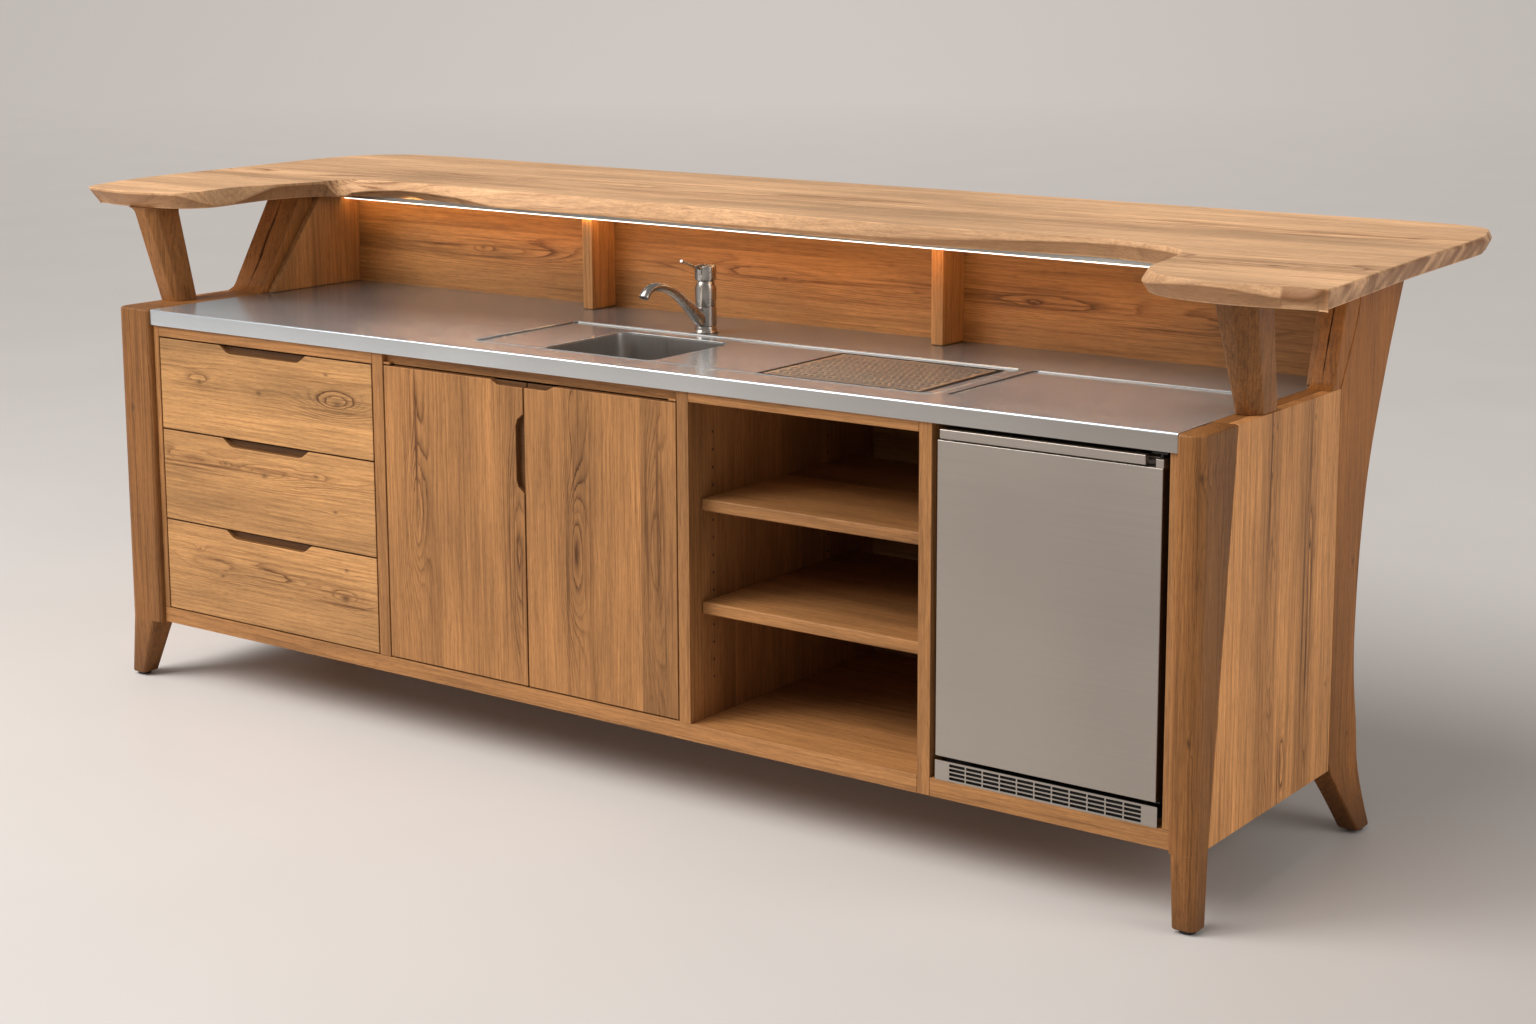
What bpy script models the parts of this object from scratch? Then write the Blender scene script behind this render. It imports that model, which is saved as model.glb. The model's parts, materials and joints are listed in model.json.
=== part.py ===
"""Oak bar counter: live-edge bar top, steel worktop with sink and drip tray, drawers, doors, cooler.

Metres, Z up. Layout axes: X runs along the counter, Y from the working side to the guest side.
Layout X = 0 is the middle of the cabinet and Y = 0 the front face of the steel worktop. Every part
hangs from one empty, which moves the layout so that its box stands centred over the origin.
"""

import math

import bmesh
import bpy
from mathutils import Matrix, Vector

# Clearances
SEAT = 0.0003                 # between faces that rest on, or are fixed to, each other
REVEAL = 0.003                # round inset drawer fronts and doors
FIT = 0.001                   # round pieces that drop into or lift out of a seat
PIN_PLAY = 0.0005             # round a pivot pin in its hole

# Worktop
WORKTOP_HALF = 1.325
WORKTOP_DEPTH = 0.668
WORKTOP_Z = 0.900
SHEET = 0.0015
APRON = 0.036
RECESS_DEPTH = 0.003
WET_X0, WET_X1, WET_Y0, WET_Y1 = -0.385, 0.772, 0.085, 0.425
DRY_X0, DRY_Y0, DRY_Y1 = 0.795, 0.100, 0.430
DRY_END = 0.085               # from the dry recess to the worktop's end

# Sink, waste and drip tray
SINK_X0, SINK_X1, SINK_Y0, SINK_Y1 = -0.210, 0.088, 0.098, 0.380
SINK_DEPTH = 0.160
SINK_WALL = 0.0015
SINK_FLANGE = 0.012
SINK_RADIUS = 0.030
WASTE_HOLE = 0.030
WASTE_RIM = 0.012
WASTE_LENGTH = 0.090
TRAP_RADIUS = 0.036
TRAP_LENGTH = 0.060
OUTLET_RADIUS = 0.016
TRAY_X0, TRAY_X1, TRAY_Y0, TRAY_Y1 = 0.362, 0.736, 0.100, 0.398
TRAY_DEPTH = 0.021
TRAY_WALL = 0.0015
TRAY_RIM = 0.006
TRAY_LEDGE = 0.008
GRILLE_THICK = 0.004
GRILLE_COLUMNS, GRILLE_ROWS = 12, 8
GRILLE_EDGE = 0.014
GRILLE_BAR = 0.008

# Carcass
CARCASS_Z = 0.149
BASE_THICK = 0.036
FACE = 0.007                  # set-back of stiles, fronts and rails from the worktop's face
SIDE_THICK = 0.017
BACK_THICK = 0.018
DIVIDER_1, DIVIDER_1_THICK = -0.596, 0.032
DIVIDER_2, DIVIDER_2_THICK = 0.243, 0.028
DIVIDER_3, DIVIDER_3_THICK = 0.810, 0.028
RAIL_DEPTH = 0.022
DRAWER_RAIL = 0.026
SHELF_RAIL = 0.021
DOOR_RAIL = 0.022
DOOR_RAIL_SETBACK = 0.013
STILE_TONGUE = 0.022          # front of the cooler divider that runs down through the base

# Drawers
DRAWERS = ("bottom", "middle", "top")
FRONT_THICK = 0.020
NOTCH_HALF, NOTCH_SLOPE, NOTCH_DEPTH = 0.140, 0.030, 0.018
BOX_DEPTH, BOX_HEIGHT, BOX_WALL, BOX_FLOOR = 0.500, 0.150, 0.012, 0.009
BOX_LIFT = 0.030
BOX_SIDE = 0.012
RUNNER_WIDTH, RUNNER_HEIGHT = 0.024, 0.014
RUNNER_STRAP, RUNNER_STRAP_WIDTH = 0.004, 0.030

# Doors
DOOR_THICK = 0.020
DOOR_NOTCH, DOOR_NOTCH_SLOPE, DOOR_NOTCH_DEPTH = 0.083, 0.021, 0.010
GRIP_Z0, GRIP_LENGTH, GRIP_DEPTH = 0.604, 0.168, 0.021
PIVOT_INSET = 0.006
PIN_RADIUS, PIN_LENGTH = 0.0025, 0.009
PIVOT_ARM, PIVOT_ARM_THICK = 0.018, 0.004

# Shelves
SHELF_THICK = 0.025
SHELF_SETBACK = 0.040
SHELF_TOPS = (("lower_shelf", 0.430), ("upper_shelf", 0.642))
SHELF_DEPTH = 0.540
SHELF_PIN_INSET = 0.060

# Cooler
COOLER_SIDE = 0.006
COOLER_HEIGHT = 0.672
COOLER_DEPTH = 0.520
COOLER_WALL = 0.034
COOLER_BASE = 0.075
COOLER_DOOR_LEFT, COOLER_DOOR_RIGHT = 0.012, 0.010
COOLER_DOOR_THICK = 0.045
COOLER_DOOR_Z0, COOLER_DOOR_Z1 = 0.231, 0.833
COOLER_STRIP, COOLER_STRIP_THICK = 0.022, 0.022
GASKET, GASKET_WIDTH, GASKET_INSET = 0.004, 0.014, 0.012
GASKET_GAP = 0.0006
HINGE_INSET_X, HINGE_INSET_Y = 0.012, 0.015
HINGE_PLATE, HINGE_PLATE_WIDTH = 0.003, 0.030
HINGE_PIN, HINGE_PIN_LENGTH = 0.0035, 0.009
HANDLE_END, HANDLE_HEIGHT, HANDLE_THICK = 0.016, 0.018, 0.012
HANDLE_GAP = 0.003
HANDLE_POST = 0.012
VENT_HEIGHT, VENT_PLATE, VENT_END = 0.038, 0.003, 0.034
VENT_GROUPS, VENT_ROWS = 9, 5
VENT_BAR, VENT_RIM = 0.004, 0.006
COOLER_SHELF_Z, COOLER_SHELF_THICK, COOLER_LEDGE = 0.540, 0.006, 0.010
COOLER_SHELF_SETBACK = 0.050

# End frames
LEFT_END_WIDTH, RIGHT_END_WIDTH = 0.114, 0.051
POST_FRONT = -0.008
POST_DEPTH_TOP, POST_DEPTH_LOW = 0.140, 0.062
POST_ROUND = 0.030
FOOT_WIDTH, FOOT_DEPTH = 0.046, 0.044
LEFT_FOOT_SPLAY, RIGHT_FOOT_SPLAY = 0.050, 0.004  # from the end frame's middle
REAR_FOOT_SPLAY = 0.034
END_PANEL_THICK = 0.022
END_CAP_THICK = 0.020
LEG_SETBACK = 0.093           # from the rear leg's front face to the back panel
GLIDE_RADIUS, GLIDE_HEIGHT = 0.015, 0.007
EDGE = 0.0015                 # broken edge on timber
ROUND_STEPS, CORNER_STEPS = 24, 3
PIN_STEPS = 12

# Rear leg's back edge: height above the floor and distance behind the back panel
LEG_BACK = (
    (0.072, 0.036), (0.193, 0.030), (0.300, 0.010), (0.391, 0.004), (0.566, 0.016),
    (0.734, 0.048), (0.919, 0.118), (1.040, 0.174),
)
LEG_BACK_FLOOR, LEG_BACK_TOP = 0.032, 0.216
LEG_CROTCH = 0.090            # how far the leg's front runs back above the worktop
SEAM_STEPS = 5

# Bar top
BAR_TOP_Z = 1.165
BAR_THICK = 0.040
BAR_LIP = 0.005               # half the height of the band round the slab's widest line
BAR_SAMPLES = 3               # points on the curve from one control point to the next

# Struts, cheeks, ribs and light
LEFT_STRUT_FOOT, LEFT_STRUT_HEAD = 0.125, 0.085     # front faces, from the worktop's front edge
RIGHT_STRUT_FOOT, RIGHT_STRUT_HEAD = 0.215, 0.105
LEFT_STRUT_WIDTH = 0.064
RIGHT_STRUT_FOOT_WIDTH, RIGHT_STRUT_HEAD_WIDTH = 0.048, 0.060
LEFT_STRUT_FOOT_DEPTH, LEFT_STRUT_HEAD_DEPTH = 0.064, 0.090
RIGHT_STRUT_FOOT_DEPTH, RIGHT_STRUT_HEAD_DEPTH = 0.084, 0.110
LEFT_STRUT_SPLAY, RIGHT_STRUT_SPLAY = 0.040, 0.024
STRUT_CHAMFER = 0.014
LEFT_REAR_FOOT, LEFT_REAR_HEAD = 0.316, 0.184      # rear struts and cheeks: how far their front
RIGHT_REAR_FOOT, RIGHT_REAR_HEAD = 0.126, 0.054    # edges stand before the back panel
CHEEK_THICK = 0.018
LEFT_CHEEK_FOOT, LEFT_CHEEK_HEAD = 0.312, 0.132
RIGHT_CHEEK_FOOT, RIGHT_CHEEK_HEAD = 0.113, 0.028
CHEEK_STEPS = 8
LEFT_RIB_X, RIGHT_RIB_X = -0.483, 0.472
RIB_THICK, RIB_DEPTH = 0.030, 0.085
LED_WIDTH, LED_HEIGHT = 0.012, 0.012
LED_LEFT_END, LED_LEFT_GAP = 0.025, 0.052         # from the worktop's end and the back panel
LED_RIGHT_END, LED_RIGHT_GAP = 0.295, 0.178

# Mixer tap
TAP_X, TAP_Y = -0.042, 0.458
TAP_RADIUS = 0.0235
TAP_STEM = 0.017
TAP_FLANGE, TAP_FLANGE_HEIGHT = 0.027, 0.006
COLLAR_Z0, COLLAR_HEIGHT = 0.016, 0.042
TAP_HEIGHT, CAP_HEIGHT = 0.114, 0.034
CAP_EASE, CAP_GROOVE = 0.0045, 0.002
SHANK_RADIUS, SHANK_LENGTH = 0.015, 0.060
SPOUT_RADIUS = 0.0105
SPOUT_ROUTE = (                # forward of the axis, and up from the worktop
    (0.0195, 0.037), (0.034, 0.037), (0.072, 0.066), (0.112, 0.100), (0.160, 0.120), (0.200, 0.118),
    (0.216, 0.100),
)
LEVER_SLOT, LEVER_BARREL = 0.013, 0.005
LEVER_LENGTH, LEVER_RISE, LEVER_THICK = 0.088, 0.028, 0.006

# Levels worked out from the sizes above
BASE_TOP = CARCASS_Z + BASE_THICK
CORE_Z0 = WORKTOP_Z - APRON
BAR_UNDER = BAR_TOP_Z - BAR_THICK
BACK_REAR = WORKTOP_DEPTH + BACK_THICK
DOOR_TOP = CORE_Z0 - DRAWER_RAIL
BAY_LEFT = -WORKTOP_HALF + SIDE_THICK
BAY_RIGHT = WORKTOP_HALF - SIDE_THICK
DRAWER_BAY = (BAY_LEFT, DIVIDER_1 - DIVIDER_1_THICK / 2)
DOOR_BAY = (DIVIDER_1 + DIVIDER_1_THICK / 2, DIVIDER_2 - DIVIDER_2_THICK / 2)
SHELF_BAY = (DIVIDER_2 + DIVIDER_2_THICK / 2, DIVIDER_3 - DIVIDER_3_THICK / 2)
COOLER_BAY = (DIVIDER_3 + DIVIDER_3_THICK / 2, BAY_RIGHT)
DRY_X1 = WORKTOP_HALF - DRY_END
LEG_FRONT = WORKTOP_DEPTH - LEG_SETBACK

# Sizes that differ between the left end, -1, and the right end, 1
END_OUT = {-1: WORKTOP_HALF + LEFT_END_WIDTH, 1: WORKTOP_HALF + RIGHT_END_WIDTH}
FOOT_SPLAY = {-1: LEFT_FOOT_SPLAY, 1: RIGHT_FOOT_SPLAY}
STRUT_FOOT = {      # front face, width and depth
    -1: (LEFT_STRUT_FOOT, LEFT_STRUT_WIDTH, LEFT_STRUT_FOOT_DEPTH),
    1: (RIGHT_STRUT_FOOT, RIGHT_STRUT_FOOT_WIDTH, RIGHT_STRUT_FOOT_DEPTH),
}
STRUT_HEAD = {
    -1: (LEFT_STRUT_HEAD, LEFT_STRUT_WIDTH, LEFT_STRUT_HEAD_DEPTH),
    1: (RIGHT_STRUT_HEAD, RIGHT_STRUT_HEAD_WIDTH, RIGHT_STRUT_HEAD_DEPTH),
}
STRUT_SPLAY = {-1: LEFT_STRUT_SPLAY, 1: RIGHT_STRUT_SPLAY}
REAR_STRUT = {
    -1: (WORKTOP_DEPTH - LEFT_REAR_FOOT, WORKTOP_DEPTH - LEFT_REAR_HEAD),
    1: (WORKTOP_DEPTH - RIGHT_REAR_FOOT, WORKTOP_DEPTH - RIGHT_REAR_HEAD),
}
CHEEK_FRONT = {
    -1: (WORKTOP_DEPTH - LEFT_CHEEK_FOOT, WORKTOP_DEPTH - LEFT_CHEEK_HEAD),
    1: (WORKTOP_DEPTH - RIGHT_CHEEK_FOOT, WORKTOP_DEPTH - RIGHT_CHEEK_HEAD),
}
RECESS_FLOOR = WORKTOP_Z - RECESS_DEPTH


def slab_outline():
    """Control points of the live edge, counter-clockwise from the left wing's tip.

    Each gives x and y of the slab's widest line, then how far the top edge and the lower edge lie
    inside it.
    """
    left = -WORKTOP_HALF
    right = WORKTOP_HALF
    inner = WORKTOP_DEPTH
    back = BACK_REAR
    return (
        (left - 0.335, 0.120, 0.005, 0.034), (left - 0.270, 0.076, 0.006, 0.030),
        (left - 0.130, 0.062, 0.008, 0.022), (left - 0.010, 0.090, 0.014, 0.016),
        (left + 0.030, 0.155, 0.018, 0.012), (left + 0.020, 0.280, 0.010, 0.018),
        (left + 0.030, 0.400, 0.005, 0.026), (left + 0.060, 0.500, 0.005, 0.026),
        (left + 0.125, inner - 0.106, 0.014, 0.012), (left + 0.250, inner - 0.088, 0.040, 0.005),
        (-0.720, inner - 0.123, 0.034, 0.006), (-0.420, inner - 0.128, 0.014, 0.014),
        (0.100, inner - 0.178, 0.010, 0.012), (0.500, inner - 0.210, 0.012, 0.012),
        (right - 0.465, inner - 0.193, 0.010, 0.014), (right - 0.325, inner - 0.218, 0.006, 0.018),
        (right - 0.205, inner - 0.278, 0.005, 0.020), (right - 0.165, 0.270, 0.006, 0.022),
        (right - 0.145, 0.140, 0.010, 0.022), (right - 0.110, 0.070, 0.013, 0.020),
        (right - 0.040, 0.022, 0.016, 0.018), (right + 0.075, 0.000, 0.016, 0.018),
        (right + 0.190, 0.018, 0.010, 0.016), (right + 0.243, 0.028, 0.004, 0.012),
        (right + 0.254, 0.060, 0.004, 0.016), (right + 0.235, 0.300, 0.004, 0.022),
        (right + 0.215, 0.550, 0.004, 0.024), (right + 0.195, back + 0.200, 0.005, 0.026),
        (right + 0.180, back + 0.300, 0.006, 0.028), (right + 0.135, back + 0.395, 0.006, 0.026),
        (right - 0.020, back + 0.435, 0.007, 0.018), (0.900, back + 0.455, 0.012, 0.010),
        (0.000, back + 0.500, 0.007, 0.018), (-0.900, back + 0.545, 0.014, 0.010),
        (left - 0.200, back + 0.570, 0.007, 0.018), (left - 0.400, back + 0.530, 0.006, 0.024),
        (left - 0.470, back + 0.360, 0.006, 0.026), (left - 0.450, 0.700, 0.012, 0.016),
        (left - 0.410, 0.350, 0.006, 0.026),
    )


def smooth_loop(points, samples):
    """Closed Catmull-Rom curve through the points."""
    count = len(points)
    loop = []
    for i in range(count):
        a, b, c, d = (Vector(points[(i + k) % count]) for k in (-1, 0, 1, 2))
        for s in range(samples):
            t = s / samples
            loop.append(
                0.5 * (2 * b + (c - a) * t + (2 * a - 5 * b + 4 * c - d) * t * t
                       + (3 * b - a - 3 * c + d) * t ** 3)
            )
    return loop


def slab_rows():
    """Rows of points round the slab, from its lower edge to its top edge."""
    loop = smooth_loop(slab_outline(), BAR_SAMPLES)
    count = len(loop)
    rows = [[], [], [], []]
    for i in range(count):
        x, y, over, under = loop[i]
        along = (loop[(i + 1) % count] - loop[i - 1]).xy.normalized()
        inwards = Vector((-along.y, along.x))
        widest = BAR_UNDER + BAR_LIP + (BAR_THICK - 2 * BAR_LIP) * under / (over + under)
        low, high = Vector((x, y)) + inwards * under, Vector((x, y)) + inwards * over
        rows[0].append(Vector((*low, BAR_UNDER)))
        rows[1].append(Vector((x, y, widest - BAR_LIP)))
        rows[2].append(Vector((x, y, widest + BAR_LIP)))
        rows[3].append(Vector((*high, BAR_TOP_Z)))
    return rows


# Scene, collections and the empty that carries the layout
for old in list(bpy.data.objects):
    bpy.data.objects.remove(old, do_unlink=True)


def collection(name):
    """A fresh collection in the scene."""
    found = bpy.data.collections.get(name)
    if found:
        bpy.data.collections.remove(found)
    made = bpy.data.collections.new(name)
    bpy.context.scene.collection.children.link(made)
    return made


PARTS = collection("bar_counter")
CUTTERS = collection("cutters")
SLAB_ROWS = slab_rows()
SLAB_X = [p.x for p in SLAB_ROWS[1]]
SLAB_Y = [p.y for p in SLAB_ROWS[1]]
ROOT = bpy.data.objects.new("bar_counter_layout", None)
ROOT.location = (-(min(SLAB_X) + max(SLAB_X)) / 2, -(POST_FRONT + max(SLAB_Y)) / 2, 0.0)
PARTS.objects.link(ROOT)
ORIGINS = {}


def material(name, colour, roughness, metallic=0.0, glow=0.0):
    """A plain Principled material."""
    made = bpy.data.materials.new(name)
    made.use_nodes = True
    shader = made.node_tree.nodes["Principled BSDF"]
    shader.inputs["Base Color"].default_value = (*colour, 1.0)
    shader.inputs["Roughness"].default_value = roughness
    shader.inputs["Metallic"].default_value = metallic
    shader.inputs["Emission Color"].default_value = (*colour, 1.0)
    shader.inputs["Emission Strength"].default_value = glow
    made.diffuse_color = (*colour, 1.0)
    return made


OAK = material("oak", (0.42, 0.23, 0.10), 0.45)
OAK_DARK = material("oak_frame", (0.33, 0.17, 0.07), 0.45)
OAK_PALE = material("oak_bar_top", (0.50, 0.29, 0.14), 0.40)
BIRCH = material("birch_ply", (0.55, 0.42, 0.27), 0.60)
STEEL = material("brushed_steel", (0.55, 0.53, 0.50), 0.30, 1.0)
CHROME = material("polished_steel", (0.70, 0.69, 0.67), 0.12, 1.0)
LINER = material("white_liner", (0.80, 0.80, 0.78), 0.40)
RUBBER = material("black_rubber", (0.02, 0.02, 0.02), 0.80)
GLASS = material("shelf_glass", (0.75, 0.82, 0.80), 0.10)
LIGHT = material("led_light", (1.00, 0.86, 0.62), 0.40, 0.0, 4.0)


# Shapes
def mesh_from(bm, name):
    """Turns a bmesh into a mesh with its faces pointing out."""
    bmesh.ops.recalc_face_normals(bm, faces=bm.faces)
    mesh = bpy.data.meshes.new(name)
    bm.to_mesh(mesh)
    bm.free()
    return mesh


def boxes(*spans):
    """One mesh of boxes, each given as x0, x1, y0, y1, z0, z1."""
    bm = bmesh.new()
    for x0, x1, y0, y1, z0, z1 in spans:
        size = Matrix.Diagonal((x1 - x0, y1 - y0, z1 - z0, 1.0))
        middle = Matrix.Translation(((x0 + x1) / 2, (y0 + y1) / 2, (z0 + z1) / 2))
        bmesh.ops.create_cube(bm, size=1.0, matrix=middle @ size)
    return mesh_from(bm, "boxes")


def rods(radius, segments, *ends):
    """One mesh of round rods, each given by its two end points."""
    bm = bmesh.new()
    for start, end in ends:
        start = Vector(start)
        run = Vector(end) - start
        turn = run.to_track_quat("Z", "Y").to_matrix().to_4x4()
        bmesh.ops.create_cone(
            bm, cap_ends=True, segments=segments, radius1=radius, radius2=radius, depth=run.length,
            matrix=Matrix.Translation(start + run / 2) @ turn,
        )
    return mesh_from(bm, "rods")


def evaluated_mesh(obj):
    """The object's mesh as its modifiers and curve settings make it, with caps welded."""
    bpy.context.view_layer.update()
    graph = bpy.context.evaluated_depsgraph_get()
    mesh = bpy.data.meshes.new_from_object(obj.evaluated_get(graph))
    bm = bmesh.new()
    bm.from_mesh(mesh)
    bmesh.ops.remove_doubles(bm, verts=bm.verts, dist=1e-6)
    return mesh_from(bm, obj.name)


AXES = {
    "X": Matrix(((0, 0, 1, 0), (1, 0, 0, 0), (0, 1, 0, 0), (0, 0, 0, 1))),
    "Y": Matrix(((1, 0, 0, 0), (0, 0, -1, 0), (0, 1, 0, 0), (0, 0, 0, 1))),
    "Z": Matrix.Identity(4),
}


def plate(outline, axis, low, high):
    """A flat outline, extruded along an axis: (y, z) along X, (x, z) along Y, (x, y) along Z."""
    data = bpy.data.curves.new("plate", "CURVE")
    data.dimensions = "2D"
    data.fill_mode = "BOTH"
    data.extrude = (high - low) / 2
    spline = data.splines.new("POLY")
    spline.points.add(len(outline) - 1)
    for point, (u, v) in zip(spline.points, outline):
        point.co = (u, v, 0.0, 1.0)
    spline.use_cyclic_u = True
    obj = bpy.data.objects.new("plate", data)
    CUTTERS.objects.link(obj)
    mesh = evaluated_mesh(obj)
    bpy.data.objects.remove(obj)
    middle = (low + high) / 2
    shift = {"X": (middle, 0, 0), "Y": (0, middle, 0), "Z": (0, 0, middle)}[axis]
    mesh.transform(Matrix.Translation(shift) @ AXES[axis])
    return mesh


def turned(profile, steps, centre, closed=False):
    """A profile of (radius, z), run down its outer side, turned about a vertical axis."""
    mesh = bpy.data.meshes.new("profile")
    edges = [(i, i + 1) for i in range(len(profile) - 1)]
    if closed:
        edges.append((len(profile) - 1, 0))
    mesh.from_pydata([(r, 0.0, z) for r, z in profile], edges, [])
    obj = bpy.data.objects.new("profile", mesh)
    CUTTERS.objects.link(obj)
    screw = obj.modifiers.new("turn", "SCREW")
    screw.steps = steps
    screw.render_steps = steps
    screw.use_merge_vertices = True
    screw.merge_threshold = 1e-5
    made = evaluated_mesh(obj)
    bpy.data.objects.remove(obj)
    made.transform(Matrix.Translation((centre[0], centre[1], 0.0)))
    return made


def rounded(x0, x1, y0, y1, radii, steps=4):
    """Counter-clockwise outline of a box, with a radius for each corner, from (x0, y0) on."""
    corners = ((x0, y0, 1, 1, 180), (x1, y0, -1, 1, 270), (x1, y1, -1, -1, 0), (x0, y1, 1, -1, 90))
    outline = []
    for (x, y, sx, sy, start), radius in zip(corners, radii):
        for k in range(steps + 1):
            angle = math.radians(start + 90 * k / steps)
            outline.append(
                Vector((x + sx * radius + radius * math.cos(angle),
                        y + sy * radius + radius * math.sin(angle)))
            )
    return outline


def skin(rings):
    """A closed solid through level rings, each a height and an outline of the same count."""
    return loft([[Vector((p.x, p.y, z)) for p in outline] for z, outline in rings])


def loft(rows):
    """A closed solid through rows of points of the same count, capped at both ends."""
    bm = bmesh.new()
    rows = [[bm.verts.new(p) for p in row] for row in rows]
    count = len(rows[0])
    for low, high in zip(rows, rows[1:]):
        for i in range(count):
            k = (i + 1) % count
            bm.faces.new((low[i], low[k], high[k], high[i]))
    bm.faces.new(list(reversed(rows[0])))
    bm.faces.new(rows[-1])
    return mesh_from(bm, "skin")


def part(name, mesh, look, origin=(0.0, 0.0, 0.0), parent=None, smooth=False):
    """Adds a named part whose mesh is in layout coordinates and whose origin is a layout point."""
    origin = Vector(origin)
    mesh.name = name
    mesh.transform(Matrix.Translation(-origin))
    mesh.materials.clear()
    mesh.materials.append(look)
    obj = bpy.data.objects.new(name, mesh)
    PARTS.objects.link(obj)
    obj.parent = parent or ROOT
    obj.location = origin - ORIGINS.get(obj.parent.name, Vector((0.0, 0.0, 0.0)))
    ORIGINS[name] = origin
    if smooth:
        mesh.shade_smooth()
        mesh.set_sharp_from_angle(angle=math.radians(35))
    return obj


def combine(obj, operation, mesh):
    """Adds or takes away a tool mesh, given in layout coordinates."""
    tool = bpy.data.objects.new(obj.name + "_" + operation.lower(), mesh)
    CUTTERS.objects.link(tool)
    tool.parent = ROOT
    tool.hide_render = True
    tool.display_type = "WIRE"
    step = obj.modifiers.new(operation.title(), "BOOLEAN")
    step.operation = operation
    step.solver = "EXACT"
    step.use_self = operation == "UNION"
    step.object = tool


def ease(obj, width=EDGE):
    """Breaks the sharp edges of a part."""
    step = obj.modifiers.new("Eased edges", "BEVEL")
    step.width = width
    step.segments = 1
    step.limit_method = "ANGLE"
    step.angle_limit = math.radians(50)


def side_name(side):
    return "left" if side < 0 else "right"


def span(side, near, far):
    """X limits of something on one side, from its distances to the middle."""
    return (near, far) if side > 0 else (-far, -near)


# Worktop
def recess_spans(grow, z0, z1):
    """Boxes over the two pressed recesses, grown by a margin."""
    return [
        (x0 - grow, x1 + grow, y0 - grow, y1 + grow, z0, z1)
        for x0, x1, y0, y1 in ((WET_X0, WET_X1, WET_Y0, WET_Y1), (DRY_X0, DRY_X1, DRY_Y0, DRY_Y1))
    ]


def worktop():
    """Steel sheet with a folded apron, pressed recesses and cut-outs, on a board core."""
    sheet = part(
        "worktop_sheet",
        plate(
            ((0.0, CORE_Z0), (SHEET, CORE_Z0), (SHEET, WORKTOP_Z - SHEET),
             (WORKTOP_DEPTH - SEAT, WORKTOP_Z - SHEET), (WORKTOP_DEPTH - SEAT, WORKTOP_Z),
             (0.0, WORKTOP_Z)),
            "X", -WORKTOP_HALF, WORKTOP_HALF,
        ),
        STEEL,
    )
    combine(sheet, "UNION", boxes(*recess_spans(SHEET, RECESS_FLOOR - SHEET, WORKTOP_Z - SHEET / 3)))
    combine(sheet, "DIFFERENCE", boxes(*recess_spans(0.0, RECESS_FLOOR, WORKTOP_Z + SHEET)))
    low, high = RECESS_FLOOR - RECESS_DEPTH, WORKTOP_Z + SHEET
    openings = (
        sink_outline(0.0),
        rounded(TRAY_X0 - FIT, TRAY_X1 + FIT, TRAY_Y0 - FIT, TRAY_Y1 + FIT, (FIT,) * 4, 1),
    )
    for outline in openings:
        combine(sheet, "DIFFERENCE", plate(outline, "Z", low, high))
    shank = rods(SHANK_RADIUS + FIT, ROUND_STEPS, ((TAP_X, TAP_Y, CORE_Z0 - FIT), (TAP_X, TAP_Y, high)))
    combine(sheet, "DIFFERENCE", shank)

    core = part(
        "worktop_core",
        boxes((-WORKTOP_HALF, WORKTOP_HALF, SHEET + SEAT, WORKTOP_DEPTH - SEAT, CORE_Z0,
               WORKTOP_Z - SHEET - SEAT)),
        BIRCH,
    )
    pocket = RECESS_FLOOR - SHEET - SEAT
    combine(core, "DIFFERENCE", boxes(*recess_spans(SHEET + SEAT, pocket, WORKTOP_Z + SHEET)))
    tray_floor = RECESS_FLOOR - TRAY_DEPTH - SEAT
    combine(core, "DIFFERENCE", boxes(
        (TRAY_X0 - FIT, TRAY_X1 + FIT, TRAY_Y0 - FIT, TRAY_Y1 + FIT, tray_floor, WORKTOP_Z)))
    grown = SINK_FLANGE + FIT
    combine(core, "DIFFERENCE", boxes(
        (SINK_X0 - grown, SINK_X1 + grown, SINK_Y0 - grown, SINK_Y1 + grown, CORE_Z0 - SHEET, WORKTOP_Z)))
    hole = rods(SHANK_RADIUS + FIT, ROUND_STEPS, ((TAP_X, TAP_Y, CORE_Z0 - FIT), (TAP_X, TAP_Y, high)))
    combine(core, "DIFFERENCE", hole)


def sink_outline(grow):
    """Rounded outline of the bowl, grown by a margin."""
    return rounded(SINK_X0 - grow, SINK_X1 + grow, SINK_Y0 - grow, SINK_Y1 + grow,
                   (SINK_RADIUS + grow,) * 4)


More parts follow.
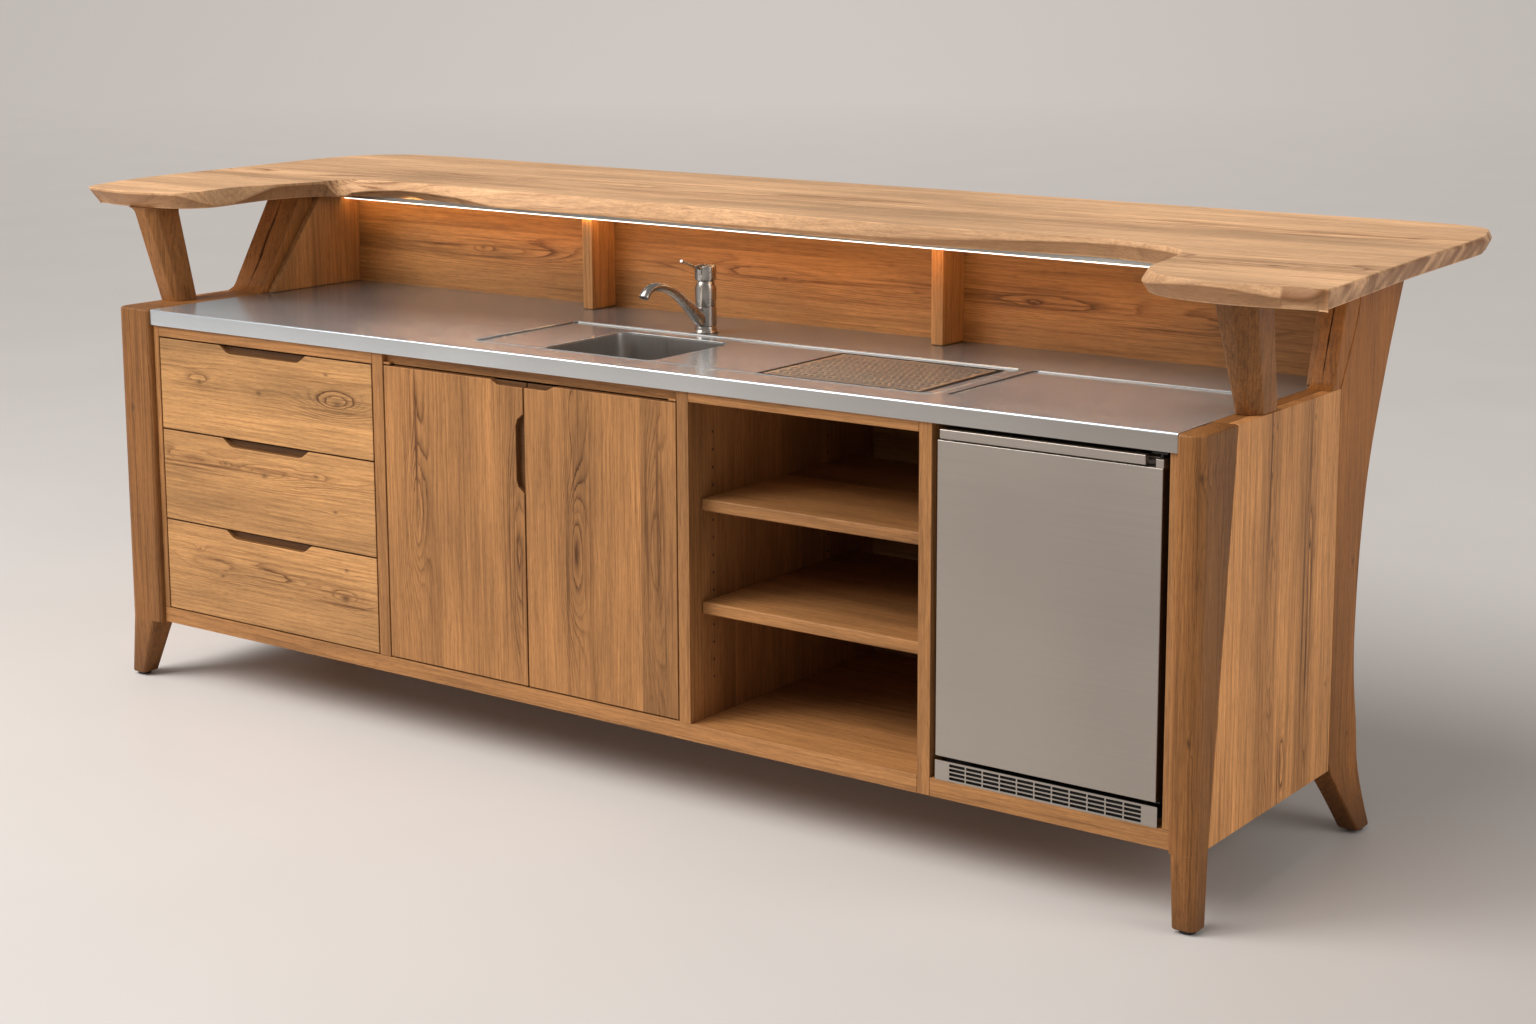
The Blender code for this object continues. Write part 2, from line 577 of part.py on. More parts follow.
def sink():
    """Bowl welded under the recess, with a waste, a bottle trap and an outlet to the back."""
    rim = RECESS_FLOOR - SHEET - SEAT
    floor = rim - SINK_DEPTH
    bowl = part("sink_bowl", plate(sink_outline(SINK_WALL), "Z", floor - SINK_WALL, rim), STEEL)
    combine(bowl, "UNION", plate(sink_outline(SINK_FLANGE), "Z", rim - SINK_WALL, rim - SINK_WALL / 3))
    combine(bowl, "DIFFERENCE", plate(sink_outline(0.0), "Z", floor, rim + SINK_WALL))
    x, y = (SINK_X0 + SINK_X1) / 2, (SINK_Y0 + SINK_Y1) / 2
    hole = WASTE_HOLE + SEAT
    combine(bowl, "DIFFERENCE", rods(
        hole, ROUND_STEPS, ((x, y, floor - SINK_FLANGE), (x, y, floor + SINK_FLANGE))))
    under = floor - SINK_WALL - SEAT
    low = under - WASTE_LENGTH
    bottom = low - TRAP_LENGTH
    dish = WASTE_HOLE - WASTE_RIM / 2
    waste = part(
        "sink_waste",
        turned(
            ((0.0, floor - WASTE_RIM), (dish, floor - WASTE_RIM),
             (WASTE_HOLE - SINK_WALL, floor + SEAT * 2), (WASTE_HOLE + WASTE_RIM, floor + SINK_WALL),
             (WASTE_HOLE + WASTE_RIM, floor + SEAT),
             (WASTE_HOLE, floor + SEAT), (WASTE_HOLE, under), (WASTE_HOLE + WASTE_RIM, under),
             (WASTE_HOLE + WASTE_RIM, under - WASTE_RIM), (OUTLET_RADIUS, under - WASTE_RIM * 2),
             (OUTLET_RADIUS, low), (TRAP_RADIUS, low), (TRAP_RADIUS, bottom), (0.0, bottom)),
            ROUND_STEPS, (x, y),
        ),
        CHROME, smooth=True,
    )
    pipe_z = low - OUTLET_RADIUS * 1.5
    combine(waste, "UNION",
            rods(OUTLET_RADIUS, ROUND_STEPS, ((x, y, pipe_z), (x, WORKTOP_DEPTH - SEAT, pipe_z))))


def drip_tray():
    """Shallow tray hung in the recess, with a ledge, and the perforated grille that lies on it."""
    rim0, rim1 = RECESS_FLOOR + SEAT, RECESS_FLOOR + SEAT + TRAY_WALL
    floor = RECESS_FLOOR - TRAY_DEPTH
    ledge = rim1 - TRAY_WALL - GRILLE_THICK
    x0, x1, y0, y1 = TRAY_X0, TRAY_X1, TRAY_Y0, TRAY_Y1
    tray = part("drip_tray", boxes((x0, x1, y0, y1, floor, rim1)), STEEL)
    combine(tray, "UNION", boxes(
        (x0 - TRAY_RIM, x1 + TRAY_RIM, y0 - TRAY_RIM, y1 + TRAY_RIM, rim0, rim1 - TRAY_WALL / 3)))
    wall = TRAY_WALL
    step = TRAY_LEDGE
    combine(tray, "DIFFERENCE", boxes((x0 + wall, x1 - wall, y0 + wall, y1 - wall, ledge, rim1 + wall)))
    combine(tray, "DIFFERENCE", boxes(
        (x0 + step, x1 - step, y0 + step, y1 - step, floor + wall, rim1 + wall)))
    gap = wall + FIT
    gx0, gx1, gy0, gy1 = x0 + gap, x1 - gap, y0 + gap, y1 - gap
    z0, z1 = ledge + SEAT, ledge + SEAT + GRILLE_THICK
    grille = part("drip_grille", boxes((gx0, gx1, gy0, gy1, z0, z1)), CHROME,
                  origin=((gx0 + gx1) / 2, (gy0 + gy1) / 2, z0))
    pitch_x = (gx1 - gx0 - 2 * GRILLE_EDGE + GRILLE_BAR) / GRILLE_COLUMNS
    pitch_y = (gy1 - gy0 - 2 * GRILLE_EDGE + GRILLE_BAR) / GRILLE_ROWS
    slots = []
    for i in range(GRILLE_COLUMNS):
        for j in range(GRILLE_ROWS):
            sx = gx0 + GRILLE_EDGE + i * pitch_x
            sy = gy0 + GRILLE_EDGE + j * pitch_y
            slots.append((sx, sx + pitch_x - GRILLE_BAR, sy, sy + pitch_y - GRILLE_BAR,
                          z0 - GRILLE_THICK, z1 + GRILLE_THICK))
    combine(grille, "DIFFERENCE", boxes(*slots))


# Mixer tap
def tap_profile(*points):
    """Radius and height pairs with heights from the worktop to layout heights."""
    return [(r, WORKTOP_Z + SEAT + z) for r, z in points]


def mixer_tap():
    """Column, spout on a collar that turns round it, and a cap that carries the lever."""
    top, low, high = TAP_HEIGHT, COLLAR_Z0, COLLAR_Z0 + COLLAR_HEIGHT
    part(
        "faucet_body",
        turned(
            tap_profile(
                (0.0, top), (TAP_RADIUS, top), (TAP_RADIUS, high), (TAP_STEM, high), (TAP_STEM, low),
                (TAP_RADIUS, low), (TAP_RADIUS, TAP_FLANGE_HEIGHT), (TAP_FLANGE, TAP_FLANGE_HEIGHT / 2),
                (TAP_FLANGE, 0.0), (SHANK_RADIUS, 0.0), (SHANK_RADIUS, -SHANK_LENGTH),
                (0.0, -SHANK_LENGTH)),
            ROUND_STEPS, (TAP_X, TAP_Y)),
        CHROME, smooth=True,
    )
    bore = TAP_STEM + SEAT
    collar = turned(
        tap_profile((bore, high - SEAT), (TAP_RADIUS, high - SEAT), (TAP_RADIUS, low + SEAT),
                    (bore, low + SEAT)),
        ROUND_STEPS, (TAP_X, TAP_Y), closed=True)
    spout = part("faucet_spout", collar, CHROME, origin=(TAP_X, TAP_Y, WORKTOP_Z + low), smooth=True)
    combine(spout, "UNION", spout_tube())

    base = top + SEAT
    crown = top + CAP_HEIGHT
    cap = part(
        "faucet_cap",
        turned(
            tap_profile((0.0, crown), (TAP_RADIUS - CAP_EASE, crown), (TAP_RADIUS, crown - CAP_EASE),
                        (TAP_RADIUS, base + CAP_GROOVE), (TAP_RADIUS - CAP_GROOVE, base), (0.0, base)),
            ROUND_STEPS, (TAP_X, TAP_Y)),
        CHROME, origin=(TAP_X, TAP_Y, WORKTOP_Z + base), smooth=True,
    )
    pivot_z = WORKTOP_Z + SEAT + crown - LEVER_BARREL * 2
    half = LEVER_SLOT / 2
    combine(cap, "DIFFERENCE", boxes(
        (TAP_X - half, TAP_X + half, TAP_Y - TAP_RADIUS * 2, TAP_Y + LEVER_BARREL + FIT,
         pivot_z - LEVER_BARREL - SEAT, pivot_z + CAP_HEIGHT)))
    lever(pivot_z, half - SEAT, cap)


def spout_tube():
    """Bent spout from inside the collar to the nozzle, as a closed mesh."""
    data = bpy.data.curves.new("spout", "CURVE")
    data.dimensions = "3D"
    data.bevel_depth = SPOUT_RADIUS
    data.bevel_resolution = 3
    data.use_fill_caps = True
    data.resolution_u = 3
    spline = data.splines.new("NURBS")
    spline.points.add(len(SPOUT_ROUTE) - 1)
    for point, (forward, up) in zip(spline.points, SPOUT_ROUTE):
        point.co = (TAP_X, TAP_Y - forward, WORKTOP_Z + up, 1.0)
    spline.use_endpoint_u = True
    spline.order_u = 3
    obj = bpy.data.objects.new("spout", data)
    CUTTERS.objects.link(obj)
    mesh = evaluated_mesh(obj)
    bpy.data.objects.remove(obj)
    return mesh


def lever(pivot_z, half, cap):
    """Flat lever on a barrel that turns in the cap's slot."""
    thick = LEVER_THICK / 2
    blade = plate(
        ((TAP_Y + LEVER_BARREL / 2, pivot_z - thick), (TAP_Y + LEVER_BARREL / 2, pivot_z + thick),
         (TAP_Y - TAP_RADIUS, pivot_z + LEVER_BARREL + thick),
         (TAP_Y - LEVER_LENGTH, pivot_z + LEVER_RISE),
         (TAP_Y - LEVER_LENGTH, pivot_z + LEVER_RISE - thick),
         (TAP_Y - TAP_RADIUS, pivot_z + LEVER_BARREL - thick)),
        "X", TAP_X - half, TAP_X + half)
    handle = part("faucet_lever", blade, CHROME, origin=(TAP_X, TAP_Y, pivot_z), parent=cap)
    inner = half - SEAT
    combine(handle, "UNION", rods(
        LEVER_BARREL, ROUND_STEPS, ((TAP_X - inner, TAP_Y, pivot_z), (TAP_X + inner, TAP_Y, pivot_z))))


# Carcass
def carcass():
    """Base, side boards, dividers, rails and back panel."""
    rear = WORKTOP_DEPTH - SEAT
    low, high = BASE_TOP + SEAT, CORE_Z0 - SEAT
    base = part("base_panel", boxes((-WORKTOP_HALF, WORKTOP_HALF, FACE, rear, CARCASS_Z, BASE_TOP)), OAK)
    half = DIVIDER_3_THICK / 2
    tongue = FACE + STILE_TONGUE
    combine(base, "DIFFERENCE", boxes(
        (DIVIDER_3 - half - SEAT, DIVIDER_3 + half + SEAT, FACE - STILE_TONGUE, tongue + SEAT,
         CARCASS_Z - BASE_THICK, BASE_TOP + BASE_THICK)))
    combine(base, "UNION", rods(PIN_RADIUS, PIN_STEPS, *(
        ((x, y, BASE_TOP - PIN_LENGTH / 2), (x, y, BASE_TOP + REVEAL + PIN_LENGTH - FIT))
        for x, y in door_pivots())))
    for side in (-1, 1):
        x0, x1 = span(side, WORKTOP_HALF - SIDE_THICK, WORKTOP_HALF)
        board = part(side_name(side) + "_side_board", boxes((x0, x1, FACE, rear, low, high)), OAK)
        ease(board)
    for name, middle, thick in (("drawer_divider", DIVIDER_1, DIVIDER_1_THICK),
                                ("door_divider", DIVIDER_2, DIVIDER_2_THICK)):
        part(name, boxes((middle - thick / 2, middle + thick / 2, FACE, rear, low, high)), OAK)
    part(
        "cooler_divider",
        plate(((FACE, CARCASS_Z), (tongue, CARCASS_Z), (tongue, low), (rear, low), (rear, high),
               (FACE, high)), "X", DIVIDER_3 - half, DIVIDER_3 + half),
        OAK,
    )
    for name, bay, height in (("drawer_top_rail", DRAWER_BAY, DRAWER_RAIL),
                              ("shelf_top_rail", SHELF_BAY, SHELF_RAIL)):
        part(name, boxes(
            (bay[0] + SEAT, bay[1] - SEAT, FACE, FACE + RAIL_DEPTH, CORE_Z0 - height, high)), OAK)
    door_rail(high)
    part("back_panel", boxes((-WORKTOP_HALF, WORKTOP_HALF, WORKTOP_DEPTH, BACK_REAR, CARCASS_Z,
                              BAR_UNDER - SEAT)), OAK)


def door_pivots():
    """Pivot axes of the left and right door."""
    inset = REVEAL + PIVOT_INSET
    y = FACE + PIVOT_INSET
    return (DOOR_BAY[0] + inset, y), (DOOR_BAY[1] - inset, y)


def door_rail(high):
    """Rail set back above the doors, with an arm and a pivot pin at each end."""
    front = FACE + DOOR_RAIL_SETBACK
    low = DOOR_TOP + REVEAL
    rail = part("door_top_rail", boxes(
        (DOOR_BAY[0] + SEAT, DOOR_BAY[1] - SEAT, front, front + DOOR_RAIL, low, high)), OAK)
    arms = []
    pins = []
    for x, y in door_pivots():
        arms.append((x - PIVOT_INSET, x - PIVOT_INSET + PIVOT_ARM, FACE + FIT, front + FIT,
                     low + SEAT, low + SEAT + PIVOT_ARM_THICK))
        pins.append(((x, y, DOOR_TOP - PIN_LENGTH + FIT), (x, y, low + SEAT + PIVOT_ARM_THICK / 2)))
    flipped = arms[1]
    x = door_pivots()[1][0] + PIVOT_INSET
    arms[1] = (x - PIVOT_ARM, x, *flipped[2:])
    combine(rail, "UNION", boxes(*arms))
    combine(rail, "UNION", rods(PIN_RADIUS, PIN_STEPS, *pins))


# Drawers
def drawers():
    """Three drawers with notched fronts, on runners along both sides of the bay."""
    x0, x1 = DRAWER_BAY
    count = len(DRAWERS)
    height = (DOOR_TOP - BASE_TOP - (count + 1) * REVEAL) / count
    middle = (x0 + x1) / 2
    y0, y1 = FACE, FACE + FRONT_THICK
    rails = []
    for i, name in enumerate(DRAWERS):
        z0 = BASE_TOP + REVEAL + i * (height + REVEAL)
        z1 = z0 + height
        left, right = x0 + REVEAL, x1 - REVEAL
        inner = NOTCH_HALF - NOTCH_SLOPE
        front = part(
            name + "_drawer_front",
            plate(((left, z0), (right, z0), (right, z1), (middle + NOTCH_HALF, z1),
                   (middle + inner, z1 - NOTCH_DEPTH), (middle - inner, z1 - NOTCH_DEPTH),
                   (middle - NOTCH_HALF, z1), (left, z1)), "Y", y0, y1),
            OAK, origin=(middle, y0, z0),
        )
        ease(front)
        b0, b1 = z0 + BOX_LIFT, z0 + BOX_LIFT + BOX_HEIGHT
        bx0, bx1 = x0 + BOX_SIDE, x1 - BOX_SIDE
        by0, by1 = y1 + SEAT, y1 + SEAT + BOX_DEPTH
        box = part(name + "_drawer_box", boxes((bx0, bx1, by0, by1, b0, b1)), BIRCH,
                   origin=(middle, y0, z0), parent=front)
        combine(box, "DIFFERENCE", boxes(
            (bx0 + BOX_WALL, bx1 - BOX_WALL, by0 + BOX_WALL, by1 - BOX_WALL, b0 + BOX_FLOOR, b1 + BOX_WALL)))
        rails.append(b0 - SEAT)
    runner_racks(rails, y1 + BOX_WALL, y1 + BOX_DEPTH)


def runner_racks(tops, y0, y1):
    """Steel racks on the bay's two walls: a rail under each drawer side, on two upright straps."""
    low, high = tops[0] - RUNNER_HEIGHT, tops[-1]
    strap = RUNNER_STRAP_WIDTH
    for name, wall, inward in (("left_runner_rack", DRAWER_BAY[0], 1),
                               ("right_runner_rack", DRAWER_BAY[1], -1)):
        rail = sorted((wall + inward * SEAT, wall + inward * RUNNER_WIDTH))
        upright = sorted((wall + inward * SEAT, wall + inward * RUNNER_STRAP))
        rack = part(name, boxes(*((*rail, y0, y1, z - RUNNER_HEIGHT, z) for z in tops)), STEEL)
        lift = RUNNER_HEIGHT / 4
        combine(rack, "UNION", boxes(*(
            (*upright, y, y + strap, low + lift, high - lift)
            for y in (y0 + strap, y1 - 2 * strap))))


# Doors
def doors():
    """Pair of inset doors on pivot pins, with a shared top notch and a grip on the left one."""
    x0, x1 = DOOR_BAY
    z0, z1 = BASE_TOP + REVEAL, DOOR_TOP
    meet = (x0 + x1) / 2
    half = REVEAL / 2
    (left_x, pivot_y), (right_x, _) = door_pivots()
    notch = z1 - DOOR_NOTCH_DEPTH
    slope = DOOR_NOTCH - DOOR_NOTCH_SLOPE
    edge = meet - half
    grip = edge - GRIP_DEPTH
    g0, g1 = GRIP_Z0, GRIP_Z0 + GRIP_LENGTH
    left = ((x0 + REVEAL, z0), (edge, z0), (edge, g0), (grip, g0 + GRIP_DEPTH), (grip, g1 - GRIP_DEPTH),
            (edge, g1), (edge, notch), (meet - slope, notch), (meet - DOOR_NOTCH, z1), (x0 + REVEAL, z1))
    right = ((meet + half, z0), (x1 - REVEAL, z0), (x1 - REVEAL, z1), (meet + DOOR_NOTCH, z1),
             (meet + slope, notch), (meet + half, notch))
    hole = PIN_RADIUS + PIN_PLAY
    for name, outline, x in (("left_door", left, left_x), ("right_door", right, right_x)):
        door = part(name, plate(outline, "Y", FACE, FACE + DOOR_THICK), OAK, origin=(x, pivot_y, z0))
        ease(door)
        combine(door, "DIFFERENCE", rods(
            hole, PIN_STEPS, ((x, pivot_y, z0 - PIN_LENGTH), (x, pivot_y, z0 + PIN_LENGTH)),
            ((x, pivot_y, z1 - PIN_LENGTH), (x, pivot_y, z1 + PIN_LENGTH))))


# Shelves
def shelves():
    """Two open shelves on pins that stand out of the dividers."""
    x0, x1 = SHELF_BAY
    y0 = FACE + SHELF_SETBACK
    pins = {"door_divider": [], "cooler_divider": []}
    for name, top in SHELF_TOPS:
        shelf = part(name, boxes((x0 + FIT, x1 - FIT, y0, y0 + SHELF_DEPTH, top - SHELF_THICK, top)), OAK,
                     origin=((x0 + x1) / 2, y0, top - SHELF_THICK))
        ease(shelf)
        z = top - SHELF_THICK - SEAT - PIN_RADIUS
        for y in (y0 + SHELF_PIN_INSET, y0 + SHELF_DEPTH - SHELF_PIN_INSET):
            pins["door_divider"].append(((x0 - PIN_LENGTH, y, z), (x0 + PIN_LENGTH, y, z)))
            pins["cooler_divider"].append(((x1 - PIN_LENGTH, y, z), (x1 + PIN_LENGTH, y, z)))
    for name, ends in pins.items():
        combine(bpy.data.objects[name], "UNION", rods(PIN_RADIUS, PIN_STEPS, *ends))


# Cooler
def cooler():
    """Compact cooler: insulated cabinet, hinged door with gasket and handle, vent and shelf."""
    x0, x1 = COOLER_BAY[0] + COOLER_SIDE, COOLER_BAY[1] - COOLER_SIDE
    d0, d1 = COOLER_BAY[0] + COOLER_DOOR_LEFT, COOLER_BAY[1] - COOLER_DOOR_RIGHT
    door_back = FACE + COOLER_DOOR_THICK
    front = door_back + SEAT + GASKET + GASKET_GAP
    z0 = BASE_TOP + SEAT
    z1 = z0 + COOLER_HEIGHT
    cabinet = part("cooler_cabinet", boxes((x0, x1, front, front + COOLER_DEPTH, z0, z1)), LINER)
    cavity = (x0 + COOLER_WALL, x1 - COOLER_WALL)
    floor = z0 + COOLER_BASE
    combine(cabinet, "DIFFERENCE", boxes(
        (*cavity, front - COOLER_WALL, front + COOLER_DEPTH - COOLER_WALL, floor, z1 - COOLER_WALL)))
    inside = front + COOLER_SHELF_SETBACK
    shelf_y1 = front + COOLER_DEPTH - COOLER_WALL - COOLER_LEDGE
    ledge_z = COOLER_SHELF_Z - SEAT
    combine(cabinet, "UNION", boxes(*(
        (x - COOLER_LEDGE, x + COOLER_LEDGE, inside, shelf_y1, ledge_z - COOLER_LEDGE, ledge_z)
        for x in cavity)))
    part("cooler_shelf", boxes((cavity[0] + FIT, cavity[1] - FIT, inside, shelf_y1, COOLER_SHELF_Z,
                                COOLER_SHELF_Z + COOLER_SHELF_THICK)), GLASS)

    hinge_x, hinge_y = d1 - HINGE_INSET_X, FACE + HINGE_INSET_Y
    strip_z = COOLER_DOOR_Z1 + COOLER_STRIP
    plates = []
    pins = []
    for edge, way in ((COOLER_DOOR_Z0, -1), (strip_z, 1)):
        near = edge + way * FIT
        low, high = sorted((near, near + way * HINGE_PLATE))
        plates.append((d1 - HINGE_PLATE_WIDTH, d1, hinge_y - HINGE_PIN - FIT, front + COOLER_LEDGE,
                       low, high))
        pins.append(((hinge_x, hinge_y, near + way * HINGE_PLATE / 2),
                     (hinge_x, hinge_y, edge - way * (HINGE_PIN_LENGTH - FIT))))
    combine(cabinet, "UNION", boxes(*plates))
    combine(cabinet, "UNION", rods(HINGE_PIN, PIN_STEPS, *pins))

    hinge = (hinge_x, hinge_y, COOLER_DOOR_Z0)
    strip_y = door_back - COOLER_STRIP_THICK
    door = part(
        "cooler_door",
        plate(((FACE, COOLER_DOOR_Z0), (door_back, COOLER_DOOR_Z0), (door_back, strip_z),
               (strip_y, strip_z), (strip_y, COOLER_DOOR_Z1), (FACE, COOLER_DOOR_Z1)), "X", d0, d1),
        STEEL, origin=hinge,
    )
    bore = HINGE_PIN + PIN_PLAY
    lug = HINGE_INSET_X + HINGE_PIN * 2
    combine(door, "UNION", boxes(
        (d1 - lug, d1, FACE + HANDLE_GAP, strip_y + FIT, COOLER_DOOR_Z1 - FIT, strip_z - SEAT)))
    combine(door, "DIFFERENCE", rods(bore, PIN_STEPS, *(
        ((hinge_x, hinge_y, z - HINGE_PIN_LENGTH), (hinge_x, hinge_y, z + HINGE_PIN_LENGTH))
        for z in (COOLER_DOOR_Z0, strip_z))))
    gasket(door, d0 + GASKET_INSET, d1 - GASKET_INSET, door_back + SEAT, hinge)
    cooler_handle(door, d0, d1 - lug, strip_y, hinge)
    vent(d0, d1, front, z0)


def gasket(door, x0, x1, y, hinge):
    """Magnetic seal, a flat frame on the door's back."""
    z0, z1 = COOLER_DOOR_Z0 + GASKET_INSET, COOLER_DOOR_Z1 - GASKET_INSET
    frame = part("cooler_gasket", boxes((x0, x1, y, y + GASKET, z0, z1)), RUBBER, origin=hinge, parent=door)
    w = GASKET_WIDTH
    combine(frame, "DIFFERENCE", boxes((x0 + w, x1 - w, y - GASKET, y + 2 * GASKET, z0 + w, z1 - w)))


def cooler_handle(door, x0, x1, strip_y, hinge):
    """Bar across the door's top channel, on a post near each end."""
    z0 = COOLER_DOOR_Z1 + HANDLE_GAP
    z1 = z0 + HANDLE_HEIGHT
    bar0, bar1 = x0 + HANDLE_END, x1 - HANDLE_END
    y0 = FACE - HANDLE_GAP
    y1 = y0 + HANDLE_THICK
    bar = part("cooler_handle", boxes((bar0, bar1, y0, y1, z0, z1)), STEEL, origin=hinge, parent=door)
    combine(bar, "UNION", boxes(*(
        (x, x + HANDLE_POST, y1 - FIT, strip_y - SEAT, z0 + FIT, z1 - FIT)
        for x in (bar0 + HANDLE_POST, bar1 - 2 * HANDLE_POST))))


def vent(x0, x1, front, z0):
    """Slotted plate below the door, with returns back to the cabinet."""
    z1 = z0 + VENT_HEIGHT
    y1 = FACE + VENT_PLATE
    grille = part("cooler_vent", boxes((x0, x1, FACE, y1, z0, z1)), STEEL)
    combine(grille, "UNION", boxes(*(
        (x, x + VENT_PLATE, y1 - VENT_PLATE / 2, front - SEAT, z0 + SEAT, z1 - SEAT)
        for x in (x0 + SEAT, x1 - SEAT - VENT_PLATE))))
    wide = (x1 - x0 - 2 * VENT_END + VENT_BAR) / VENT_GROUPS
    tall = (VENT_HEIGHT - 2 * VENT_RIM + VENT_BAR / 2) / VENT_ROWS
    slots = []
    for i in range(VENT_GROUPS):
        for j in range(VENT_ROWS):
            x = x0 + VENT_END + i * wide
            z = z0 + VENT_RIM + j * tall
            slots.append((x, x + wide - VENT_BAR, FACE - VENT_PLATE, y1 + VENT_PLATE,
                          z, z + tall - VENT_BAR / 2))
    combine(grille, "DIFFERENCE", boxes(*slots))


# End frames
def post_back(z):
    """Y of the front post's back face at a height."""
    t = max(0.0, (z - CARCASS_Z) / (WORKTOP_Z - CARCASS_Z))
    return POST_FRONT + POST_DEPTH_LOW + (POST_DEPTH_TOP - POST_DEPTH_LOW) * t


def crotch(z):
    """Y of the seam between rear strut and rear leg, above the worktop."""
    t = max(0.0, (z - WORKTOP_Z) / (BAR_UNDER - WORKTOP_Z))
    return LEG_FRONT + LEG_CROTCH * math.sin(t * math.pi / 2)


def seam_heights():
    """Heights of the sections that strut and leg share along their seam."""
    low, high = WORKTOP_Z + SEAT, BAR_UNDER - SEAT
    return [low + (high - low) * i / SEAM_STEPS for i in range(SEAM_STEPS + 1)]


def side_ring(side, near, far, y0, y1, soft, crisp):
    """Section of an end-frame timber, with its outer front corner rounded more than the others."""
    x0, x1 = span(side, near, far)
    radii = (crisp, soft, crisp, crisp) if side > 0 else (soft, crisp, crisp, crisp)
    return rounded(x0, x1, y0, y1, radii, CORNER_STEPS)


def front_post(side):
    """Tapered post that ends in a foot."""
    near, far = WORKTOP_HALF + SEAT, END_OUT[side]
    middle = (near + far) / 2 + FOOT_SPLAY[side]
    foot_z = GLIDE_HEIGHT + SEAT
    half = FOOT_WIDTH / 2
    foot_y = POST_FRONT + FOOT_DEPTH / 4
    rings = [(foot_z, side_ring(side, middle - half, middle + half, foot_y, foot_y + FOOT_DEPTH,
                                POST_ROUND / 2, half / 3))]
    for z in (CARCASS_Z, WORKTOP_Z):
        rings.append((z, side_ring(side, near, far, POST_FRONT, post_back(z), POST_ROUND, EDGE)))
    part(side_name(side) + "_front_post", skin(rings), OAK_DARK)
    glide(side_name(side) + "_front_glide", side * middle, foot_y + FOOT_DEPTH / 2)


def glide(name, x, y):
    """Round pad under a foot."""
    profile = ((0.0, GLIDE_HEIGHT), (GLIDE_RADIUS, GLIDE_HEIGHT), (GLIDE_RADIUS, 0.0), (0.0, 0.0))
    part(name, turned(profile, ROUND_STEPS, (x, y)), RUBBER, smooth=True)


def rear_leg(side):
    """Leg that sweeps back at its foot and again under the bar top."""
    near, far = WORKTOP_HALF + SEAT, END_OUT[side]
    middle = (near + far) / 2 + REAR_FOOT_SPLAY
    foot_z = GLIDE_HEIGHT + SEAT
    half = FOOT_WIDTH / 2
    foot_back = BACK_REAR + LEG_BACK_FLOOR
    rings = [(foot_z, side_ring(side, middle - half, middle + half, foot_back - FOOT_DEPTH, foot_back,
                                half / 2, half / 2))]
    heights = [CARCASS_Z] + [z for z, _ in LEG_BACK if CARCASS_Z < z < WORKTOP_Z] + seam_heights()
    profile = ((0.0, LEG_BACK_FLOOR), *LEG_BACK, (BAR_UNDER, LEG_BACK_TOP))
    for z in heights:
        rear = BACK_REAR + interpolate(profile, z)
        rings.append((z, side_ring(side, near, far, crotch(z), rear, EDGE, EDGE)))
    part(side_name(side) + "_rear_leg", skin(rings), OAK_DARK)
    glide(side_name(side) + "_rear_glide", side * middle, foot_back - FOOT_DEPTH / 2)


def interpolate(pairs, z):
    """Value at z on a line through (z, value) pairs."""
    for (z0, a), (z1, b) in zip(pairs, pairs[1:]):
        if z0 <= z <= z1:
            return a + (b - a) * (z - z0) / (z1 - z0)
    return pairs[-1][1]


def end_panel(side):
    """Panel between post and leg, and the cap that closes the top between it and the worktop."""
    inner = END_OUT[side] - END_PANEL_THICK
    for name, near, far, low, look in (
            ("_end_panel", inner, END_OUT[side], CARCASS_Z, OAK),
            ("_end_cap", WORKTOP_HALF + SEAT, inner - SEAT, WORKTOP_Z - END_CAP_THICK, OAK_DARK)):
        x0, x1 = span(side, near, far)
        rear = LEG_FRONT - SEAT
        outline = ((post_back(low) + SEAT, low), (rear, low), (rear, WORKTOP_Z),
                   (post_back(WORKTOP_Z) + SEAT, WORKTOP_Z))
        part(side_name(side) + name, plate(outline, "X", x0, x1), look)


def struts(side):
    """Front strut that leans out and forward, and rear strut that leans back against the leg."""
    low, high = WORKTOP_Z + SEAT, BAR_UNDER - SEAT
    far = END_OUT[side] - EDGE
    corner = EDGE * 3
    rings = []
    for z, (y0, width, depth), splay in (
            (low, STRUT_FOOT[side], 0.0), (high, STRUT_HEAD[side], STRUT_SPLAY[side])):
        outer = far + splay
        rings.append((z, side_ring(side, outer - width, outer, y0, y0 + depth, STRUT_CHAMFER, corner)))
    part(side_name(side) + "_front_strut", skin(rings), OAK_DARK)
    front0, front1 = REAR_STRUT[side]
    rings = []
    for z in seam_heights():
        front = front0 + (front1 - front0) * (z - low) / (high - low)
        rings.append((z, side_ring(side, WORKTOP_HALF + SEAT, far, front, crotch(z) - SEAT, corner, EDGE)))
    part(side_name(side) + "_rear_strut", skin(rings), OAK_DARK)


def cheek(side):
    """Inner end board between worktop, back panel and bar top. Its front edge is an easy S."""
    x0, x1 = span(side, WORKTOP_HALF - CHEEK_THICK, WORKTOP_HALF)
    low, high = WORKTOP_Z + SEAT, BAR_UNDER - SEAT
    front0, front1 = CHEEK_FRONT[side]
    rear = WORKTOP_DEPTH - SEAT
    outline = [(rear, low), (rear, high)]
    for i in range(CHEEK_STEPS, -1, -1):
        t = i / CHEEK_STEPS
        outline.append((front0 + (front1 - front0) * t * t * (3 - 2 * t), low + (high - low) * t))
    part(side_name(side) + "_cheek", plate(outline, "X", x0, x1), OAK)


